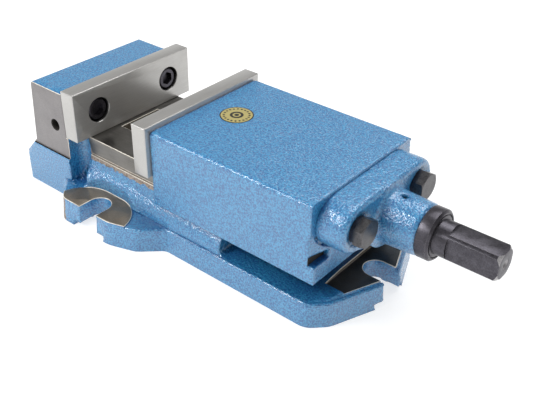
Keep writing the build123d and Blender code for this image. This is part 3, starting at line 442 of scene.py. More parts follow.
@dataclass
class WorkedSolid(Piece):
    """A solid of the frame with its edges broken and a finish for each of its faces."""

    node: str = ""
    rule: Rule = lambda centre, normal: PAINT
    edge: float = 0.3 * MM
    straight: float = 0.0  # edges shorter than this are left alone
    clamped: bool = True  # keeps the bevels apart where edges are short
    sharp: float = math.radians(28)
    edge_finish: Finish | None = None
    finishes: list[Finish] = field(default_factory=list)

    def build(self, frame: dict[str, Any]) -> bpy.types.Object:
        """Builds the piece from its node.

        Args:
            frame: The loaded frame.

        Returns:
            The placed object.
        """
        shape = self.solid(frame)
        self.break_edges(shape)
        self.shape_further(shape)
        mesh = bpy.data.meshes.new(self.name)
        bmesh.ops.triangulate(shape, faces=[face for face in shape.faces if len(face.verts) > 4])
        shape.to_mesh(mesh)
        shape.free()
        for finish in self.finishes:
            mesh.materials.append(finish.material())
        return self.place(new_object(self.name, mesh))

    def index(self, finish: Finish) -> int:
        """Returns the material slot of a finish, adding it if it is new."""
        if finish not in self.finishes:
            self.finishes.append(finish)
        return self.finishes.index(finish)

    def solid(self, frame: dict[str, Any]) -> bmesh.types.BMesh:
        """Copies the node's solid, merged, with its flat faces whole and each face's finish set.

        Args:
            frame: The loaded frame.

        Returns:
            The editable shape.
        """
        shape = bmesh.new()
        shape.from_mesh(frame["nodes"][self.node].data)
        bmesh.ops.remove_doubles(shape, verts=shape.verts, dist=0.002 * MM)
        shape.normal_update()
        for face in shape.faces:
            face.material_index = self.index(self.rule(face.calc_center_median() / MM, face.normal))
        bmesh.ops.dissolve_limit(
            shape, angle_limit=ONE_FACE, verts=shape.verts, edges=shape.edges, delimit={"MATERIAL"}
        )
        return shape

    def is_broken(self, edge: bmesh.types.BMEdge) -> bool:
        """Only long straight edges are broken: round rims have their own chamfer."""
        return edge.calc_length() > self.straight

    def break_edges(self, shape: bmesh.types.BMesh) -> None:
        """Rounds the sharp edges of the solid a little.

        Args:
            shape: The editable shape.
        """
        edges = [
            edge
            for edge in shape.edges
            if len(edge.link_faces) == 2 and abs(edge.calc_face_angle()) > self.sharp and self.is_broken(edge)
        ]
        made = bmesh.ops.bevel(
            shape, geom=edges, offset=self.edge, offset_type="OFFSET", segments=2, profile=0.5, affect="EDGES",
            clamp_overlap=self.clamped, material=-1,
        )
        if self.edge_finish:
            rubbed_highlight = self.index(self.edge_finish)
            for face in made["faces"]:
                face.material_index = rubbed_highlight
        self.dress_edges(set(made["faces"]))

    def dress_edges(self, strips: set[bmesh.types.BMFace]) -> None:
        """Lets a kind of solid give its broken edges another finish."""

    def shape_further(self, shape: bmesh.types.BMesh) -> None:
        """Lets a kind of solid change its shape once its edges are broken."""


@dataclass
class Blemish:
    """A lump or a pit of a casting: its place in millimetres, its reach and its height."""

    centre: tuple[float, float, float]
    reach: float
    height: float


@dataclass
class Casting(WorkedSolid):
    """A casting: soft corners where the mould made them, crisp edges where a cutter did."""

    cast: tuple[Finish, ...] = (PAINT,)
    crease: float = math.radians(11)  # corners sharper than this are softened
    clamped: bool = False
    reach: float = 9 * MM  # the softening reaches this far from a corner
    grain_length: float = 1.7 * MM  # edge length of the mesh near a softened corner
    slack: float = 1.35  # an edge this many times as long is still left whole
    rounds: int = 12  # of halving, at most
    passes: int = 30
    wear: float = 0.7 * MM  # outward corners lose at most this much
    fill: float = 5 * MM  # inward corners fill up by at most this much
    lumpy: float = 0.16 * MM  # unevenness of the sand along the softened corners
    sand: float = 2.6 * MM  # width of its lumps
    turned: float = 0.45  # a face whose normal turns by more than this cosine has folded
    blemishes: tuple[Blemish, ...] = ()

    def is_cast(self, face: bmesh.types.BMFace) -> bool:
        """Tells whether a face is as it came from the mould."""
        return self.finishes[face.material_index] in self.cast

    def is_broken(self, edge: bmesh.types.BMEdge) -> bool:
        """Only edges that a cutter made are broken: cast corners are softened instead."""
        return not all(self.is_cast(face) for face in edge.link_faces)

    def dress_edges(self, strips: set[bmesh.types.BMFace]) -> None:
        """Lets the enamel run to the edge of the machined faces."""
        enamel = self.index(PAINT)
        for face in strips:
            if any(other.material_index == enamel for edge in face.edges for other in edge.link_faces):
                face.material_index = enamel

    def bare_highlight_rims(self, strips: set[bmesh.types.BMFace]) -> None:
        """Leaves a bare edge, near white as a painted highlight, where a machined face meets the enamel."""
        enamel = self.index(PAINT)
        highlight_rims = set()
        for face in strips:
            beside = {other for edge in face.edges for other in edge.link_faces}
            if any(other not in strips and other.material_index == enamel for other in beside):
                highlight_rims.add(face)
                highlight_rims.update(other for other in beside if other in strips)
        highlight_rim = self.index(BARE_RIM_HIGHLIGHT)
        for face in highlight_rims:
            face.material_index = highlight_rim

    def shape_further(self, shape: bmesh.types.BMesh) -> None:
        """Refines the mesh near cast corners, softens them and adds the blemishes."""
        spots = self.soft_spots(shape)
        if not len(spots):
            return
        near = kdtree.KDTree(len(spots))
        for number, spot in enumerate(spots):
            near.insert(spot, number)
        near.balance()
        self.refine(shape, near)
        self.soften(shape, near)
        self.blemish(shape)
        self.scuff(shape)

    def soft_spots(self, shape: bmesh.types.BMesh) -> list[Vector]:
        """Finds places along the cast corners.

        Args:
            shape: The editable shape.

        Returns:
            Points about two grain lengths apart.
        """
        spots = [Vector(blemish.centre) * MM for blemish in self.blemishes]
        for edge in shape.edges:
            if len(edge.link_faces) != 2 or not all(self.is_cast(face) for face in edge.link_faces):
                continue
            if abs(edge.calc_face_angle()) < self.crease:
                continue
            start, end = (vert.co for vert in edge.verts)
            count = max(1, round((end - start).length / (2 * self.grain_length)))
            spots += [start.lerp(end, step / count) for step in range(count + 1)]
        return spots

    def scuff(self, shape: bmesh.types.BMesh) -> None:
        """Lets one casting lose some of its enamel."""

    def refine(self, shape: bmesh.types.BMesh, near: kdtree.KDTree) -> None:
        """Splits the long edges near soft corners until they are short enough.

        Args:
            shape: The editable shape.
            near: The soft corners' places.
        """
        bmesh.ops.triangulate(shape, faces=[face for face in shape.faces if len(face.verts) > 3])
        for _ in range(self.rounds):
            long = []
            for edge in shape.edges:
                size = edge.calc_length()
                if size > self.grain_length * self.slack and any(self.is_cast(face) for face in edge.link_faces):
                    middle = (edge.verts[0].co + edge.verts[1].co) / 2
                    if near.find(middle)[2] < self.reach + size / 2:
                        long.append((size, edge))
            if not long:
                break
            for _, edge in sorted(long, key=lambda item: -item[0]):
                self.halve(edge)

    @staticmethod
    def halve(edge: bmesh.types.BMEdge) -> None:
        """Splits an edge in the middle, and the triangles beside it with it.

        Args:
            edge: The edge.
        """
        beside = list(edge.link_faces)
        _, middle = bmesh.utils.edge_split(edge, edge.verts[0], 0.5)
        linked = {other.other_vert(middle) for other in middle.link_edges}
        for face in beside:
            opposite = next(vert for vert in face.verts if vert is not middle and vert not in linked)
            bmesh.utils.face_split(face, middle, opposite)

    def soften(self, shape: bmesh.types.BMesh, near: kdtree.KDTree) -> None:
        """Smooths the cast corners, while machined faces and their edges stay.

        Args:
            shape: The editable shape.
            near: The soft corners' places.
        """
        free = [
            vert
            for vert in shape.verts
            if all(self.is_cast(face) for face in vert.link_faces) and near.find(vert.co)[2] < self.reach
        ]
        before = {vert: (vert.co.copy(), vert.normal.copy()) for vert in free}
        facing = [(face, face.normal.copy()) for face in shape.faces if self.is_cast(face)]
        for _ in range(self.passes):
            bmesh.ops.smooth_vert(shape, verts=free, factor=0.5, use_axis_x=True, use_axis_y=True, use_axis_z=True)
        low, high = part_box(self.node)
        for vert, (place, normal) in before.items():
            moved = vert.co - place
            limit = self.fill if moved.dot(normal) > 0 else self.wear
            if moved.length > limit:
                vert.co = place + moved.normalized() * limit
            vert.co += normal * (self.lumpy * noise.noise(vert.co / self.sand))
            vert.co = Vector(min(max(value, least), most) for value, least, most in zip(vert.co, low, high))
        self.unfold(shape, before, facing)

    def unfold(
        self,
        shape: bmesh.types.BMesh,
        before: dict[bmesh.types.BMVert, tuple[Vector, Vector]],
        facing: list[tuple[bmesh.types.BMFace, Vector]],
    ) -> None:
        """Puts back the corners of faces that the softening turned over.

        Args:
            shape: The editable shape.
            before: Place and normal of each softened vertex before.
            facing: The cast faces and their normals before.
        """
        for _ in range(8):
            shape.normal_update()
            turned = [face for face, normal in facing if face.normal.dot(normal) < self.turned]
            if not turned:
                break
            for face in turned:
                for vert in face.verts:
                    if vert in before:
                        vert.co = before[vert][0]
        shape.normal_update()

    def blemish(self, shape: bmesh.types.BMesh) -> None:
        """Raises the lumps and sinks the pits.

        Args:
            shape: The editable shape.
        """
        for flaw in self.blemishes:
            centre = Vector(flaw.centre) * MM
            for vert in shape.verts:
                away = (vert.co - centre).length / (flaw.reach * MM)
                if away < 1 and all(self.is_cast(face) for face in vert.link_faces):
                    uneven = 0.7 + 0.6 * noise.noise(vert.co / (2.5 * MM))
                    vert.co += vert.normal * (flaw.height * MM * (1 - away * away) ** 2 * uneven)
        shape.normal_update()


@dataclass
class BaseCasting(Casting):
    """The base, whose shoulders lost some enamel to the wheel that ground the rails."""

    ledge: tuple[float, float] = (51.0, 39.6)  # the widest and lowest place it touched, in mm
    ragged: float = 1.5  # how far the bare strip wanders, in mm

    def is_broken(self, edge: bmesh.types.BMEdge) -> bool:
        """Leaves the underside and the narrow ledge below the jaw block crisp."""
        x, _, z = (edge.verts[0].co + edge.verts[1].co) / (2 * MM)
        return super().is_broken(edge) and z > 5 and not (x < -11 and z < 39.5)

    def dress_edges(self, strips: set[bmesh.types.BMFace]) -> None:
        """Bares the edges of the pads and the rails, near white as a painted highlight."""
        self.bare_highlight_rims(strips)
        highlight_rim = self.index(BARE_RIM_HIGHLIGHT)
        for face in strips:
            if 56 < face.calc_center_median().z / MM < 57.5:
                face.material_index = highlight_rim

    def scuff(self, shape: bmesh.types.BMesh) -> None:
        """Bares the strip of the shoulders next to the ledge, with a ragged border."""
        width, height = self.ledge
        bare, enamel = self.index(TOUCHED_SKIN), self.index(PAINT)
        for face in shape.faces:
            x, y, z = face.calc_center_median() / MM
            wander = self.ragged * noise.noise(Vector((x, y, z)) / 3.5)
            by_rail = -2 < x < 150 and abs(y) < width + 2.6 + wander and z > height + wander
            by_wing = y < -77 - wander and x < 5 + wander and abs(face.normal.z) < 0.5
            if face.material_index == enamel and (by_rail or by_wing):
                face.material_index = bare


@dataclass
class HoodCasting(Casting):
    """The hood, with its seams painted dark as shade where the jaw plate and the bracket stand against it."""

    def dress_edges(self, strips: set[bmesh.types.BMFace]) -> None:
        """Paints the edges at the jaw plate and round the bracket's pocket dark, as painted shade."""
        super().dress_edges(strips)
        seam_shade = self.index(RAW_IRON_AND_SEAM_SHADE)
        for face in strips:
            x, y, z = face.calc_center_median() / MM
            if x < 80 or x > 213 and abs(y) < 56.5 and z < 94:
                face.material_index = seam_shade


# Where the machined faces of the solids lie, in millimetres.
RAIL_TOP, RAIL_SIDE, RAIL_LEDGE = 57.0, 49.0, 42.5
PAD_TOP, HEEL_LEDGE = 20.0, 38.5
BLOCK_FRONT, BLOCK_SIDE = -14.0, -62.5
HOOD_FRONT, SKIRT_SIDE, TONGUE_FOOT = 79.0, 49.3, 34.0
BRACKET_BACK, BARREL_END = 224.0, 274.5
SPINDLE_HEIGHT, JAW_SCREW_HEIGHT, JAW_SCREW_SIDE, BORE_REACH = 68.5, 77.4, 38.0, 10.2
FIXED_FACE, MOVING_FACE = 0.0, 65.0


def near(value: float, target: float, slack: float = 0.15) -> bool:
    """Tells whether two lengths in millimetres are the same within a slack."""
    return abs(value - target) <= slack


def base_finish(centre: Vector, normal: Vector) -> Finish:
    """Picks the finish of a face of the base, by where it lies, in millimetres."""
    x, y, z = centre
    flat = normal.z > 0.98
    if normal.z > 0.9999 and near(z, PAD_TOP, 0.02) and x > 200:
        return DARKER_PAD_IRON
    if normal.z < -0.98 and near(z, 0) or normal.z > 0.9999 and near(z, PAD_TOP, 0.02):
        return MILLED_IRON
    if flat and near(z, RAIL_TOP) or abs(normal.y) > 0.98 and near(abs(y), RAIL_SIDE) and z > 42.4 and x > -4.5:
        return GROUND_IRON
    if flat and near(z, RAIL_LEDGE) and abs(y) < 51.2 and x > -4.5:
        return TOUCHED_SKIN
    if abs(y) < 34.2 and 3.9 < x < 150 and z > 22.9:
        return MILLED_IRON
    if near(x, BLOCK_FRONT) and normal.x > 0.9 or normal.y < -0.98 and near(y, BLOCK_SIDE) and z > 38.4:
        return FLY_CUT_IRON
    if flat and near(z, HEEL_LEDGE):
        return RAW_IRON_AND_SEAM_SHADE
    if near(x, BRACKET_BACK, 0.2) and z > 19.9 and abs(y) < 38.5:
        return MILLED_IRON
    if y < -42 and 58 < z < 72 and -32 < x < -20 or abs(y) < 30 and 10 < x < 150 and z < 23:
        return RAW_IRON_AND_SEAM_SHADE
    return PAINT


def hood_finish(centre: Vector, normal: Vector) -> Finish:
    """Picks the finish of a face of the hood."""
    x, y, z = centre
    if near(x, HOOD_FRONT) and normal.x < -0.9:
        return FLY_CUT_IRON
    if near(z, RAIL_TOP) and normal.z < -0.9 or near(abs(y), SKIRT_SIDE, 0.2):
        return GROUND_IRON
    if near(z, TONGUE_FOOT) and normal.z < -0.9:
        return MILLED_IRON
    if abs(y) < 55.2 and z < 93 and 79.5 < x < 223.5 or x < 78.9:
        return RAW_IRON_AND_SEAM_SHADE
    return PAINT


def bracket_finish(centre: Vector, normal: Vector) -> Finish:
    """Picks the finish of a face of the bracket."""
    x, y, z = centre
    if near(x, BARREL_END, 0.2) or near(x, BRACKET_BACK, 0.1) or math.hypot(y, z - SPINDLE_HEIGHT) < 16:
        return MILLED_IRON
    return PAINT


def plate_finish(centre: Vector, normal: Vector) -> Finish:
    """Picks the finish of a face of a jaw plate: ground outside, painted dark as shade inside the counterbores."""
    x, y, z = centre
    face = near(x, FIXED_FACE, 0.05) or near(x, MOVING_FACE, 0.05)
    bore_shade = math.hypot(abs(y) - JAW_SCREW_SIDE, z - JAW_SCREW_HEIGHT) < BORE_REACH
    return BORE_SHADE_STEEL if bore_shade and not face else GROUND_STEEL


def spindle_finish(centre: Vector, normal: Vector) -> Finish:
    """Picks the finish of a face of the spindle: bright in its bearing, blackened outside.

    The turned corners of the square's end are rubbed by the crank handle and lightened as a painted highlight.
    """
    if centre.x > 326.5 and 0.2 < normal.x < 0.97:
        return WORN_EDGE_HIGHLIGHT
    return TURNED_STEEL if 213 < centre.x < 274.7 else BLACK_OXIDE


# --- pieces that a node tree grows


@dataclass
class GrownPiece(Piece):
    """A piece that a Geometry Nodes tree makes from named sizes, on points where it is needed."""

    finish: Finish = BLACK_OXIDE
    rubbed_highlight: Finish | None = None
    turn: tuple[float, float, float] = (0.0, 0.0, 0.0)

    def sizes(self) -> dict[str, float]:
        """Returns the tree's named sizes, in metres."""
        raise NotImplementedError

    def seats(self) -> list[Vector]:
        """Returns the places that get one of the grown shapes each."""
        raise NotImplementedError

    def grow(self, tree: Tree, size: dict[str, Socket]) -> bpy.types.Node:
        """Adds the nodes that make one shape along Z.

        Args:
            tree: The tree.
            size: The sockets of the named sizes.

        Returns:
            The node whose first output is the shape.
        """
        raise NotImplementedError

    def mesh(self) -> bpy.types.Mesh:
        """Runs the tree once and returns what it makes as a plain mesh."""
        tree = bpy.data.node_groups.new(self.name, "GeometryNodeTree")
        tree.interface.new_socket(name="Seats", in_out="INPUT", socket_type="NodeSocketGeometry")
        sockets = {
            name: tree.interface.new_socket(name=name, in_out="INPUT", socket_type="NodeSocketFloat")
            for name in self.sizes()
        }
        tree.interface.new_socket(name="Piece", in_out="OUTPUT", socket_type="NodeSocketGeometry")
        start = add(tree, "NodeGroupInput")
        shape = self.grow(tree, {name: start.outputs[name] for name in self.sizes()})
        set_out = {"Points": start.outputs["Seats"], "Instance": shape, "Rotation": self.turn}
        copies = add(tree, "GeometryNodeInstanceOnPoints", set_out)
        real = add(tree, "GeometryNodeRealizeInstances", {"Geometry": copies})
        smooth = add(tree, "GeometryNodeSetShadeSmooth", {"Geometry": real})
        dressed = add(tree, "GeometryNodeSetMaterial", {"Geometry": smooth, "Material": self.finish.material()})
        add(tree, "NodeGroupOutput", {"Piece": dressed})
        points = bpy.data.meshes.new(self.name)
        points.from_pydata(self.seats(), [], [])
        host = new_object(self.name, points)
        modifier = host.modifiers.new("grow", "NODES")
        modifier.node_group = tree
        for name, value in self.sizes().items():
            modifier[sockets[name].identifier] = value
        graph = bpy.context.evaluated_depsgraph_get()
        mesh = bpy.data.meshes.new_from_object(host.evaluated_get(graph), depsgraph=graph)
        bpy.data.objects.remove(host)
        self.rub_highlight(mesh)
        return mesh

    def rub_highlight(self, mesh: bpy.types.Mesh) -> None:
        """Gives the faces that slope like a chamfer the rubbed-edge finish, lightened as a painted highlight, if the
        piece has one.
        """
        if not self.rubbed_highlight:
            return
        mesh.materials.append(self.rubbed_highlight.material())
        axis = Euler(self.turn).to_matrix() @ Vector((0.0, 0.0, 1.0))
        for face in mesh.polygons:
            if 0.3 < face.normal.dot(axis) < 0.97:
                face.material_index = 1

    def build(self) -> bpy.types.Object:
        """Grows the piece and hands it to the frame."""
        return self.place(new_object(self.name, self.mesh()))


@dataclass
class Thread:
    """A right-hand screw thread: sizes in metres, flanks as shares of its pitch."""

    radius: float
    depth: float
    pitch: float
    length: float
    crest: float = 0.14
    root: float = 0.86
    around: int = 36
    rows: int = 8  # rows of the mesh in one turn

    def sizes(self) -> dict[str, float]:
        """Returns the named sizes that the tree needs."""
        return {
            "Thread Radius": self.radius,
            "Thread Depth": self.depth,
            "Thread Pitch": self.pitch,
            "Thread Length": self.length,
        }

    def grow(self, tree: Tree, size: dict[str, Socket]) -> bpy.types.Node:
        """Rolls a grid into a closed threaded rod from the origin up along Z.

        Args:
            tree: The tree.
            size: The sockets of the named sizes.

        Returns:
            The node whose first output is the rod.
        """
        rows = round(self.length / self.pitch * self.rows)
        sheet = {"Size X": 1.0, "Size Y": 1.0, "Vertices X": self.around + 1, "Vertices Y": rows + 3}
        grid = add(tree, "GeometryNodeMeshGrid", sheet)
        flat = add(tree, "ShaderNodeSeparateXYZ", (add(tree, "GeometryNodeInputPosition"),))
        across, along = flat.outputs[0], flat.outputs[1]
        turn = add(tree, "ShaderNodeMath", (across, 0.5), operation="ADD")
        angle = add(tree, "ShaderNodeMath", (turn, math.tau), operation="MULTIPLY")
        end = 0.5 - 1 / (rows + 2)
        climb = {"Value": along, 1: -end, 2: end, 4: size["Thread Length"]}
        height = add(tree, "ShaderNodeMapRange", climb)
        turns = add(tree, "ShaderNodeMath", (height, size["Thread Pitch"]), operation="DIVIDE")
        phase = add(tree, "ShaderNodeMath", (turns, turn), operation="SUBTRACT")
        ridge = add(tree, "ShaderNodeMath", (phase, 0.5), operation="PINGPONG")
        ridge = add(tree, "ShaderNodeMath", (ridge, 2.0), operation="MULTIPLY")
        sunk = {"Value": ridge, 1: self.crest, 2: self.root, 3: 0.0, 4: size["Thread Depth"]}
        groove = add(tree, "ShaderNodeMapRange", sunk)
        radius = add(tree, "ShaderNodeMath", (size["Thread Radius"], groove), operation="SUBTRACT")
        root = add(tree, "ShaderNodeMath", (size["Thread Radius"], size["Thread Depth"]), operation="SUBTRACT")
        left = add(tree, "ShaderNodeMath", (size["Thread Length"], height), operation="SUBTRACT")
        nearest = add(tree, "ShaderNodeMath", (height, left), operation="MINIMUM")
        lead = add(tree, "ShaderNodeMath", (root, nearest), operation="ADD")
        radius = add(tree, "ShaderNodeMath", (radius, lead), operation="MINIMUM")
        far = add(tree, "ShaderNodeMath", (along,), operation="ABSOLUTE")
        inside = add(tree, "ShaderNodeMath", (far, 0.4999), operation="LESS_THAN")
        radius = add(tree, "ShaderNodeMath", (radius, inside), operation="MULTIPLY")
        cosine = add(tree, "ShaderNodeMath", (angle,), operation="COSINE")
        sine = add(tree, "ShaderNodeMath", (angle,), operation="SINE")
        x = add(tree, "ShaderNodeMath", (radius, cosine), operation="MULTIPLY")
        y = add(tree, "ShaderNodeMath", (radius, sine), operation="MULTIPLY")
        point = add(tree, "ShaderNodeCombineXYZ", (x, y, height))
        rolled = add(tree, "GeometryNodeSetPosition", {"Geometry": grid, "Position": point})
        return add(tree, "GeometryNodeMergeByDistance", {"Geometry": rolled, "Distance": 0.002 * MM})


@dataclass
class Screws(GrownPiece):
    """Screws of one size, each with a head on its seat and a threaded shank below it."""

    head: float = 7.5 * MM
    grip: float = 18 * MM
    radius: float = 6 * MM
    pitch: float = 1.75 * MM
    thread_depth: float = 0.61  # share of the pitch
    axis: int = 0  # the screws lie along this axis
    heads_up: bool = True  # their heads are at its high end

    def thread(self) -> Thread:
        """Returns the thread of the shank."""
        return Thread(self.radius, self.thread_depth * self.pitch, self.pitch, self.grip)

    def seats(self) -> list[Vector]:
        """Finds the seats of the heads in the frame."""
        places = []
        for name in self.replaces:
            low, high = (Vector(corner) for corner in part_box(name))
            seat = (low + high) / 2
            seat[self.axis] = high[self.axis] - self.head if self.heads_up else low[self.axis] + self.head
            places.append(seat)
        return places

    def shank(self, tree: Tree, size: dict[str, Socket]) -> bpy.types.Node:
        """Adds the threaded shank, from the seat down.

        Args:
            tree: The tree.
            size: The sockets of the named sizes.

        Returns:
            The node whose first output is the shank.
        """
        rod = {"Geometry": self.thread().grow(tree, size), "Rotation": (math.pi, 0.0, 0.0)}
        return add(tree, "GeometryNodeTransform", rod)


@dataclass
class SocketScrews(Screws):
    """Socket head screws: a knurled head with a chamfer and a hexagon socket."""

    head_radius: float = 9 * MM
    socket: float = 10 * MM
    chamfer: float = 1.1 * MM
    knurl: float = 0.12 * MM
    knurls: int = 96

    def sizes(self) -> dict[str, float]:
        """Returns the named sizes."""
        return {
            "Head Radius": self.head_radius,
            "Head Height": self.head,
            "Head Chamfer": self.chamfer,
            "Knurl": self.knurl,
            "Socket Width": self.socket,
        } | self.thread().sizes()

    def grow(self, tree: Tree, size: dict[str, Socket]) -> bpy.types.Node:
        """A knurled cylinder cut by a cone and a hexagon, on a threaded shank."""
        height, radius = size["Head Height"], size["Head Radius"]
        half = add(tree, "ShaderNodeMath", (height, 0.5), operation="MULTIPLY")
        body = {"Vertices": self.knurls, "Radius": radius, "Depth": height}
        cap = add(tree, "GeometryNodeMeshCylinder", body, fill_type="NGON").outputs["Mesh"]
        odd = add(tree, "ShaderNodeMath", (add(tree, "GeometryNodeInputIndex"), 2.0), operation="MODULO")
        spot = add(tree, "GeometryNodeInputPosition")
        outward = add(tree, "ShaderNodeVectorMath", (spot, (1.0, 1.0, 0.0)), operation="MULTIPLY")
        outward = add(tree, "ShaderNodeVectorMath", (outward,), operation="NORMALIZE")
        inward = add(tree, "ShaderNodeMath", (odd, size["Knurl"]), operation="MULTIPLY")
        inward = add(tree, "ShaderNodeMath", (inward, -1.0), operation="MULTIPLY")
        notch = add(tree, "ShaderNodeVectorMath", {0: outward, "Scale": inward}, operation="SCALE")
        cap = add(tree, "GeometryNodeSetPosition", {"Geometry": cap, "Offset": notch})
        top = add(tree, "ShaderNodeMath", (radius, size["Head Chamfer"]), operation="SUBTRACT")
        foot = add(tree, "ShaderNodeMath", (top, height), operation="ADD")
        cone = {"Vertices": self.knurls, "Radius Top": top, "Radius Bottom": foot, "Depth": height}
        cone = add(tree, "GeometryNodeMeshCone", cone, fill_type="NGON")
        down = add(tree, "ShaderNodeMath", (half, -1.0), operation="MULTIPLY")
        drop = add(tree, "ShaderNodeCombineXYZ", {2: down})
        cone = add(tree, "GeometryNodeTransform", {"Geometry": cone.outputs["Mesh"], "Translation": drop})
        cap = add(tree, "GeometryNodeMeshBoolean", {1: [cap, cone]}, operation="INTERSECT", solver="EXACT")
        corner = add(tree, "ShaderNodeMath", (size["Socket Width"], 1 / math.sqrt(3)), operation="MULTIPLY")
        prism = {"Vertices": 6, "Radius": corner, "Depth": height}
        prism = add(tree, "GeometryNodeMeshCylinder", prism, fill_type="NGON").outputs["Mesh"]
        rise = add(tree, "ShaderNodeCombineXYZ", {2: half})
        prism = add(tree, "GeometryNodeTransform", {"Geometry": prism, "Translation": rise})
        cap = add(tree, "GeometryNodeMeshBoolean", (cap, prism), operation="DIFFERENCE", solver="EXACT")
        cap = add(tree, "GeometryNodeTransform", {"Geometry": cap, "Translation": rise})
        return add(tree, "GeometryNodeJoinGeometry", {"Geometry": [cap, self.shank(tree, size)]})


@dataclass
class HexBolts(Screws):
    """Hexagon bolts with a washer face under the head and a turned crown on top."""

    flats: float = 19 * MM
    face: float = 0.5 * MM
    crown_slope: float = 0.5  # fall of the crown over its width, about 27 degrees
    crown_radius: float = 0.485  # the crown's flat top and the disc below, as shares of the flats
    disc_radius: float = 0.49

    def sizes(self) -> dict[str, float]:
        """Returns the named sizes."""
        return {"Flats": self.flats, "Head Height": self.head, "Washer Face": self.face} | self.thread().sizes()

    def grow(self, tree: Tree, size: dict[str, Socket]) -> bpy.types.Node:
        """A hexagonal prism cut by a flat cone, on its washer face and a threaded shank."""
        corner = add(tree, "ShaderNodeMath", (size["Flats"], 1 / math.sqrt(3)), operation="MULTIPLY")
        depth = add(tree, "ShaderNodeMath", (size["Head Height"], size["Washer Face"]), operation="SUBTRACT")
        prism = {"Vertices": 6, "Radius": corner, "Depth": depth}
        prism = add(tree, "GeometryNodeMeshCylinder", prism, fill_type="NGON").outputs["Mesh"]
        top = add(tree, "ShaderNodeMath", (size["Flats"], self.crown_radius), operation="MULTIPLY")
        spread = add(tree, "ShaderNodeMath", (depth, 1 / self.crown_slope), operation="MULTIPLY")
        foot = add(tree, "ShaderNodeMath", (top, spread), operation="ADD")
        cone = {"Vertices": 96, "Radius Top": top, "Radius Bottom": foot, "Depth": depth}
        cone = add(tree, "GeometryNodeMeshCone", cone, fill_type="NGON").outputs["Mesh"]
        half = add(tree, "ShaderNodeMath", (depth, -0.5), operation="MULTIPLY")
        drop = add(tree, "ShaderNodeCombineXYZ", {2: half})
        cone = add(tree, "GeometryNodeTransform", {"Geometry": cone, "Translation": drop})
        crown = add(tree, "GeometryNodeMeshBoolean", {1: [prism, cone]}, operation="INTERSECT", solver="EXACT")
        lift = add(tree, "ShaderNodeMath", (size["Head Height"], half), operation="ADD")
        raised = add(tree, "ShaderNodeCombineXYZ", {2: lift})
        crown = add(tree, "GeometryNodeTransform", {"Geometry": crown, "Translation": raised})
        disc = add(tree, "ShaderNodeMath", (size["Flats"], self.disc_radius), operation="MULTIPLY")
        twice = add(tree, "ShaderNodeMath", (size["Washer Face"], 2.0), operation="MULTIPLY")
        seat = {"Vertices": 64, "Radius": disc, "Depth": twice}
        seat = add(tree, "GeometryNodeMeshCylinder", seat, fill_type="NGON").outputs["Mesh"]
        lifted = add(tree, "ShaderNodeCombineXYZ", {2: size["Washer Face"]})
        seat = add(tree, "GeometryNodeTransform", {"Geometry": seat, "Translation": lifted})
        return add(tree, "GeometryNodeJoinGeometry", {"Geometry": [crown, seat, self.shank(tree, size)]})


@dataclass
class SpringWashers(GrownPiece):
    """Split spring washers: a square wire in one open turn."""

    outer: float = 10 * MM
    inner: float = 6.1 * MM
    thickness: float = 2.4 * MM
    rise: float = 0.35 * MM
    opening: float = 0.03  # the gap as a share of the turn

    def sizes(self) -> dict[str, float]:
        """Returns the named sizes."""
        return {
            "Middle Radius": (self.outer + self.inner) / 2,
            "Width": self.outer - self.inner,
            "Thickness": self.thickness,
            "Rise": self.rise,
        }

    def seats(self) -> list[Vector]:
        """Finds the low faces of the washers, on the bracket's side."""
        places = []
        for name in self.replaces:
            low, high = (Vector(corner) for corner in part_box(name))
            places.append(Vector((low.x, (low.y + high.y) / 2, (low.z + high.z) / 2)))
        return places

    def grow(self, tree: Tree, size: dict[str, Socket]) -> bpy.types.Node:
        """A square section swept along one turn of a flat spiral."""
        radius = size["Middle Radius"]
        sweep = {"Resolution": 72, "Rotations": 1 - self.opening, "Start Radius": radius, "End Radius": radius,
                 "Height": size["Rise"]}
        spiral = add(tree, "GeometryNodeCurveSpiral", sweep)
        upright = add(tree, "GeometryNodeSetCurveNormal", {"Curve": spiral}, mode="Z_UP")
        square = {"Width": size["Thickness"], "Height": size["Width"]}
        section = add(tree, "GeometryNodeCurvePrimitiveQuadrilateral", square)
        wire = {"Curve": upright, "Profile Curve": section, "Fill Caps": True}
        wire = add(tree, "GeometryNodeCurveToMesh", wire)
        half = add(tree, "ShaderNodeMath", (size["Thickness"], 0.5), operation="MULTIPLY")
        lift = add(tree, "ShaderNodeCombineXYZ", {2: half})
        return add(tree, "GeometryNodeTransform", {"Geometry": wire, "Translation": lift})


@dataclass
class LeadThread(GrownPiece):
    """The trapezoidal thread of the spindle."""

    start: float = 92 * MM
    end: float = 209.5 * MM
    height: float = SPINDLE_HEIGHT * MM

    def thread(self) -> Thread:
        """A 22 by 5 trapezoidal thread."""
        return Thread(11 * MM, 2.5 * MM, 5 * MM, self.end - self.start, 0.37, 0.63, around=64, rows=12)

    def sizes(self) -> dict[str, float]:
        """Returns the named sizes."""
        return self.thread().sizes()

    def seats(self) -> list[Vector]:
        """Starts the thread at the spindle's tip."""
        return [Vector((self.start, 0.0, self.height))]

    def grow(self, tree: Tree, size: dict[str, Socket]) -> bpy.types.Node:
        """The thread alone."""
        return self.thread().grow(tree, size)


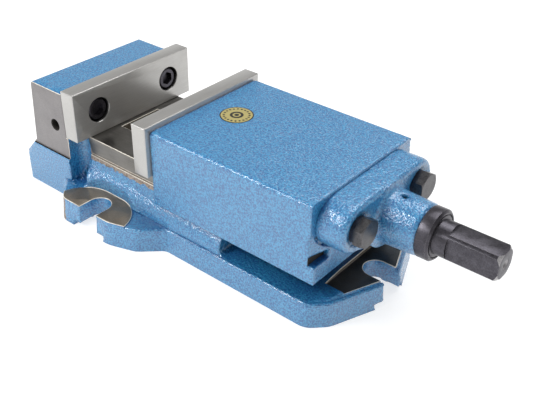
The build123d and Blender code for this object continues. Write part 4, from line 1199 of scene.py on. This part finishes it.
@dataclass
class Spindle(WorkedSolid):
    """The spindle: the solid's journal, collar and square, and a real thread before them."""

    thread_end: float = 209 * MM

    def shape_further(self, shape: bmesh.types.BMesh) -> None:
        """Swaps the plain rod for the thread."""
        cut = Vector((self.thread_end, 0.0, 0.0))
        everything = list(shape.verts) + list(shape.edges) + list(shape.faces)
        bmesh.ops.bisect_plane(shape, geom=everything, plane_co=cut, plane_no=(-1.0, 0.0, 0.0), clear_outer=True)
        bmesh.ops.holes_fill(shape, edges=[edge for edge in shape.edges if edge.is_boundary], sides=0)
        thread = LeadThread("lead_thread", self.body, self.slot, finish=TURNED_STEEL, turn=(0.0, math.pi / 2, 0.0))
        mesh = thread.mesh()
        known = set(shape.faces)
        shape.from_mesh(mesh)
        steel = self.index(TURNED_STEEL)
        for face in shape.faces:
            if face not in known:
                face.material_index = steel
        bpy.data.meshes.remove(mesh)


@dataclass
class Label(Piece):
    """The round sticker on the hood: a thin disc with a soft edge."""

    centre: tuple[float, float, float] = (109 * MM, 2 * MM, 94.5 * MM)
    radius: float = 12.7 * MM
    thickness: float = 0.12 * MM
    around: int = 96

    def build(self) -> bpy.types.Object:
        """Builds the disc from rings, from its foot over the soft edge to its middle."""
        profile = [
            (1.0, 0.0), (1.0, 0.5), (0.995, 0.85), (0.985, 1.0), (0.7, 1.0), (0.35, 1.0),
        ]
        shape = bmesh.new()
        rings = []
        for share, lift in profile:
            ring = []
            for step in range(self.around):
                angle = math.tau * step / self.around
                reach = share * self.radius
                spot = Vector((math.cos(angle) * reach, math.sin(angle) * reach, lift * self.thickness))
                ring.append(shape.verts.new(Vector(self.centre) + spot))
            rings.append(ring)
        for low, high in zip(rings, rings[1:]):
            for step in range(self.around):
                after = (step + 1) % self.around
                shape.faces.new((low[step], low[after], high[after], high[step]))
        shape.faces.new(rings[-1])
        shape.faces.new(rings[0][::-1])
        mesh = bpy.data.meshes.new(self.name)
        shape.to_mesh(mesh)
        shape.free()
        mesh.materials.append(LABEL.material())
        return self.place(new_object(self.name, mesh))


# --- the studio


def mirrored(tree: Tree) -> bpy.types.Node:
    """Adds nodes that give 1 where the camera, a mirror or glass looks, and 0 for plain light.

    Args:
        tree: The tree of the world or of a material.

    Returns:
        The node with that number.
    """
    path = add(tree, "ShaderNodeLightPath").outputs
    seen = add(tree, "ShaderNodeMath", (path["Is Camera Ray"], path["Is Glossy Ray"]))
    return add(tree, "ShaderNodeMath", (seen, path["Is Transmission Ray"]))


@dataclass
class Studio:
    """Plain pale floor, soft lamps and the camera at the photograph's viewing angle."""

    eye: tuple[float, float, float] = (0.464124, -0.398347, 0.373909)
    target: tuple[float, float, float] = (0.140253, 0.0, 0.033931)
    roll: float = math.radians(0.948)
    lens: float = 55.01
    middle: tuple[float, float, float] = (0.12, 0.0, 0.05)
    # Each lamp: its name, place, size and power.
    lamps: tuple[tuple[str, tuple[float, float, float], float, float], ...] = (
        ("front", (-0.6, -0.9, 1.0), 0.36, 8.5),
        ("side", (-0.15, -1.15, 0.95), 0.25, 2.5),
        ("overhead", (0.2, 0.5, 1.25), 0.8, 8.0),
    )
    ambient: float = 0.52
    ceiling: float = 0.28  # brightness of the studio's ceiling in mirroring surfaces
    horizon: tuple[float, float] = (0.02, 0.4)  # heights between which white turns into the ceiling
    glow: float = 1.4  # brightness of the card's own white, where it is seen
    glow_share: float = 0.5  # the rest of what is seen keeps the shadow
    floor_reach: float = 4.0

    def build(self) -> None:
        """Makes the camera, the lamps, the world and the floor."""
        self.aim_camera()
        self.hang_lamps()
        self.light_world()
        self.lay_floor()

    def aim_camera(self) -> None:
        """Aims the camera."""
        data = bpy.data.cameras.new("camera")
        data.lens = self.lens
        data.sensor_width = 36.0
        data.clip_start, data.clip_end = 0.01, 50
        made = bpy.data.objects.new("camera", data)
        aim = (Vector(self.target) - Vector(self.eye)).to_track_quat("-Z", "Y").to_matrix().to_4x4()
        made.matrix_world = Matrix.Translation(self.eye) @ aim @ Matrix.Rotation(self.roll, 4, "Z")
        bpy.context.scene.collection.objects.link(made)
        bpy.context.scene.camera = made

    def hang_lamps(self) -> None:
        """Hangs the soft lamps."""
        for name, eye, size, power in self.lamps:
            data = bpy.data.lights.new(name, "AREA")
            data.shape = "SQUARE"
            data.size = size
            data.energy = power
            made = bpy.data.objects.new(name, data)
            aim = (Vector(self.middle) - Vector(eye)).to_track_quat("-Z", "Y").to_matrix().to_4x4()
            made.matrix_world = Matrix.Translation(eye) @ aim
            bpy.context.scene.collection.objects.link(made)

    def light_world(self) -> None:
        """Lights softly from all round, and shows a white horizon below a dimmer ceiling."""
        world = bpy.data.worlds.new("studio")
        world.use_nodes = True
        tree = world.node_tree
        tree.nodes.clear()
        way = add(tree, "ShaderNodeSeparateXYZ", (add(tree, "ShaderNodeTexCoord").outputs["Generated"],))
        fade = {"Value": way.outputs[2], 1: self.horizon[0], 2: self.horizon[1], 3: 1.0, 4: self.ceiling}
        sky = add(tree, "ShaderNodeMapRange", fade, interpolation_type="SMOOTHSTEP")
        strength = add(tree, "ShaderNodeMix", {"Factor": mirrored(tree), "A": self.ambient, "B": sky})
        light = add(tree, "ShaderNodeBackground", {"Color": (1.0, 1.0, 1.0, 1.0), "Strength": strength})
        add(tree, "ShaderNodeOutputWorld", {"Surface": light})
        bpy.context.scene.world = world

    def lay_floor(self) -> None:
        """Lays the white floor, which keeps a faint shadow."""
        mesh = bpy.data.meshes.new("floor")
        reach = self.floor_reach
        corners = [(-reach, -reach, 0), (reach, -reach, 0), (reach, reach, 0), (-reach, reach, 0)]
        mesh.from_pydata(corners, [], [(0, 1, 2, 3)])
        material = bpy.data.materials.new("white_card")
        material.use_nodes = True
        tree = material.node_tree
        tree.nodes.clear()
        share = add(tree, "ShaderNodeMath", (mirrored(tree), self.glow_share), operation="MULTIPLY")
        card = add(tree, "ShaderNodeBsdfDiffuse", {"Color": linear("#f7f7f7")})
        glow = add(tree, "ShaderNodeEmission", {"Color": (1.0, 1.0, 1.0, 1.0), "Strength": self.glow})
        both = add(tree, "ShaderNodeMixShader", (share, card, glow))
        add(tree, "ShaderNodeOutputMaterial", {"Surface": both})
        mesh.materials.append(material)
        new_object("floor", mesh)


def dress_nodes(frame: dict[str, Any], finishes: dict[str, Finish]) -> None:
    """Gives carried-over nodes their finish.

    Args:
        frame: The loaded frame.
        finishes: A finish for each node.
    """
    for name, finish in finishes.items():
        made = frame["nodes"][name]
        for slot in made.material_slots:
            slot.material = finish.material()
        LOG.info("%s keeps its shape, in %s", name, finish.name)


def main() -> None:
    """Builds the whole vise around the frame."""
    logging.basicConfig(level=logging.INFO, format="%(message)s")
    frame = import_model()
    bpy.context.scene.view_settings.view_transform = "Standard"

    blemishes = (
        Blemish((-9.6, -66.8, 20.0), 5.0, 2.5),
        Blemish((42.7, -57.4, 26.0), 2.4, -1.6),
    )
    BaseCasting(
        "cast_base", "base", "casting", ("base_casting",), "base_casting", base_finish, 0.45 * MM, blemishes=blemishes
    ).build(frame)
    HoodCasting(
        "sliding_hood", "carriage", "casting", ("moving_jaw",), "moving_jaw", hood_finish, 0.35 * MM, passes=5
    ).build(frame)
    Casting(
        "bearing_bracket", "carriage", "casting", ("bracket",), "bracket", bracket_finish, 0.35 * MM, passes=8
    ).build(frame)
    for name, body in (("fixed_jaw_plate", "base"), ("moving_jaw_plate", "carriage")):
        WorkedSolid(f"ground_{name}", body, "jaw_steel", (name,), name, plate_finish, 0.2 * MM, 5 * MM).build(frame)
    # The spindle's broken edges get the rubbed finish, lightened as a painted highlight.
    Spindle(
        "square_end_spindle", "spindle", "black_steel", ("spindle",), "spindle", spindle_finish, 0.35 * MM,
        edge_finish=WORN_EDGE_HIGHLIGHT,
    ).build(frame)
    pair = ("near", "far")
    forward, backward, down = (0.0, math.pi / 2, 0.0), (0.0, -math.pi / 2, 0.0), (math.pi, 0.0, 0.0)
    # The chamfers of the screw and bolt heads get the rubbed finish, lightened as a painted highlight.
    SocketScrews(
        "fixed_jaw_screws", "base", "black_steel", tuple(f"fixed_jaw_screw_{side}" for side in pair), turn=forward,
        rubbed_highlight=WORN_EDGE_HIGHLIGHT,
    ).build()
    SocketScrews(
        "moving_jaw_screws", "carriage", "black_steel", tuple(f"moving_jaw_screw_{side}" for side in pair),
        turn=backward, heads_up=False, rubbed_highlight=WORN_EDGE_HIGHLIGHT,
    ).build()
    SocketScrews(
        "nut_screws", "base", "black_steel", tuple(f"nut_screw_{side}" for side in pair), turn=down,
        head_radius=6.5 * MM, head=8 * MM, socket=6 * MM, grip=42 * MM, radius=4 * MM, pitch=1.25 * MM,
        axis=2, heads_up=False,
    ).build()
    SocketScrews(
        "keeper_screws", "carriage", "black_steel", tuple(f"keeper_screw_{number}" for number in range(1, 5)),
        turn=down, head_radius=4.25 * MM, head=5 * MM, socket=4 * MM, grip=15 * MM, radius=2.5 * MM,
        pitch=0.8 * MM, chamfer=0.5 * MM, knurl=0.08 * MM, knurls=72, axis=2, heads_up=False,
    ).build()
    HexBolts(
        "bracket_bolts", "carriage", "black_steel", tuple(f"bracket_bolt_{side}" for side in pair), turn=forward,
        head=6.9 * MM, grip=38 * MM, finish=BROWN_OXIDE, rubbed_highlight=WORN_EDGE_HIGHLIGHT,
    ).build()
    SpringWashers(
        "spring_washers", "carriage", "black_steel", tuple(f"bracket_washer_{side}" for side in pair), turn=forward
    ).build()
    Label("round_sticker", "carriage", "casting").build()
    dress_nodes(
        frame,
        {
            "keeper_plate": TURNED_STEEL,
            "lock_ring": TURNED_STEEL,
            "lock_pin": TURNED_STEEL,
            "thrust_washer": TURNED_STEEL,
            "spindle_nut": BRONZE,
            "bracket_bush": BRONZE,
        },
    )
    Studio().build()


if __name__ == "__main__":
    main()
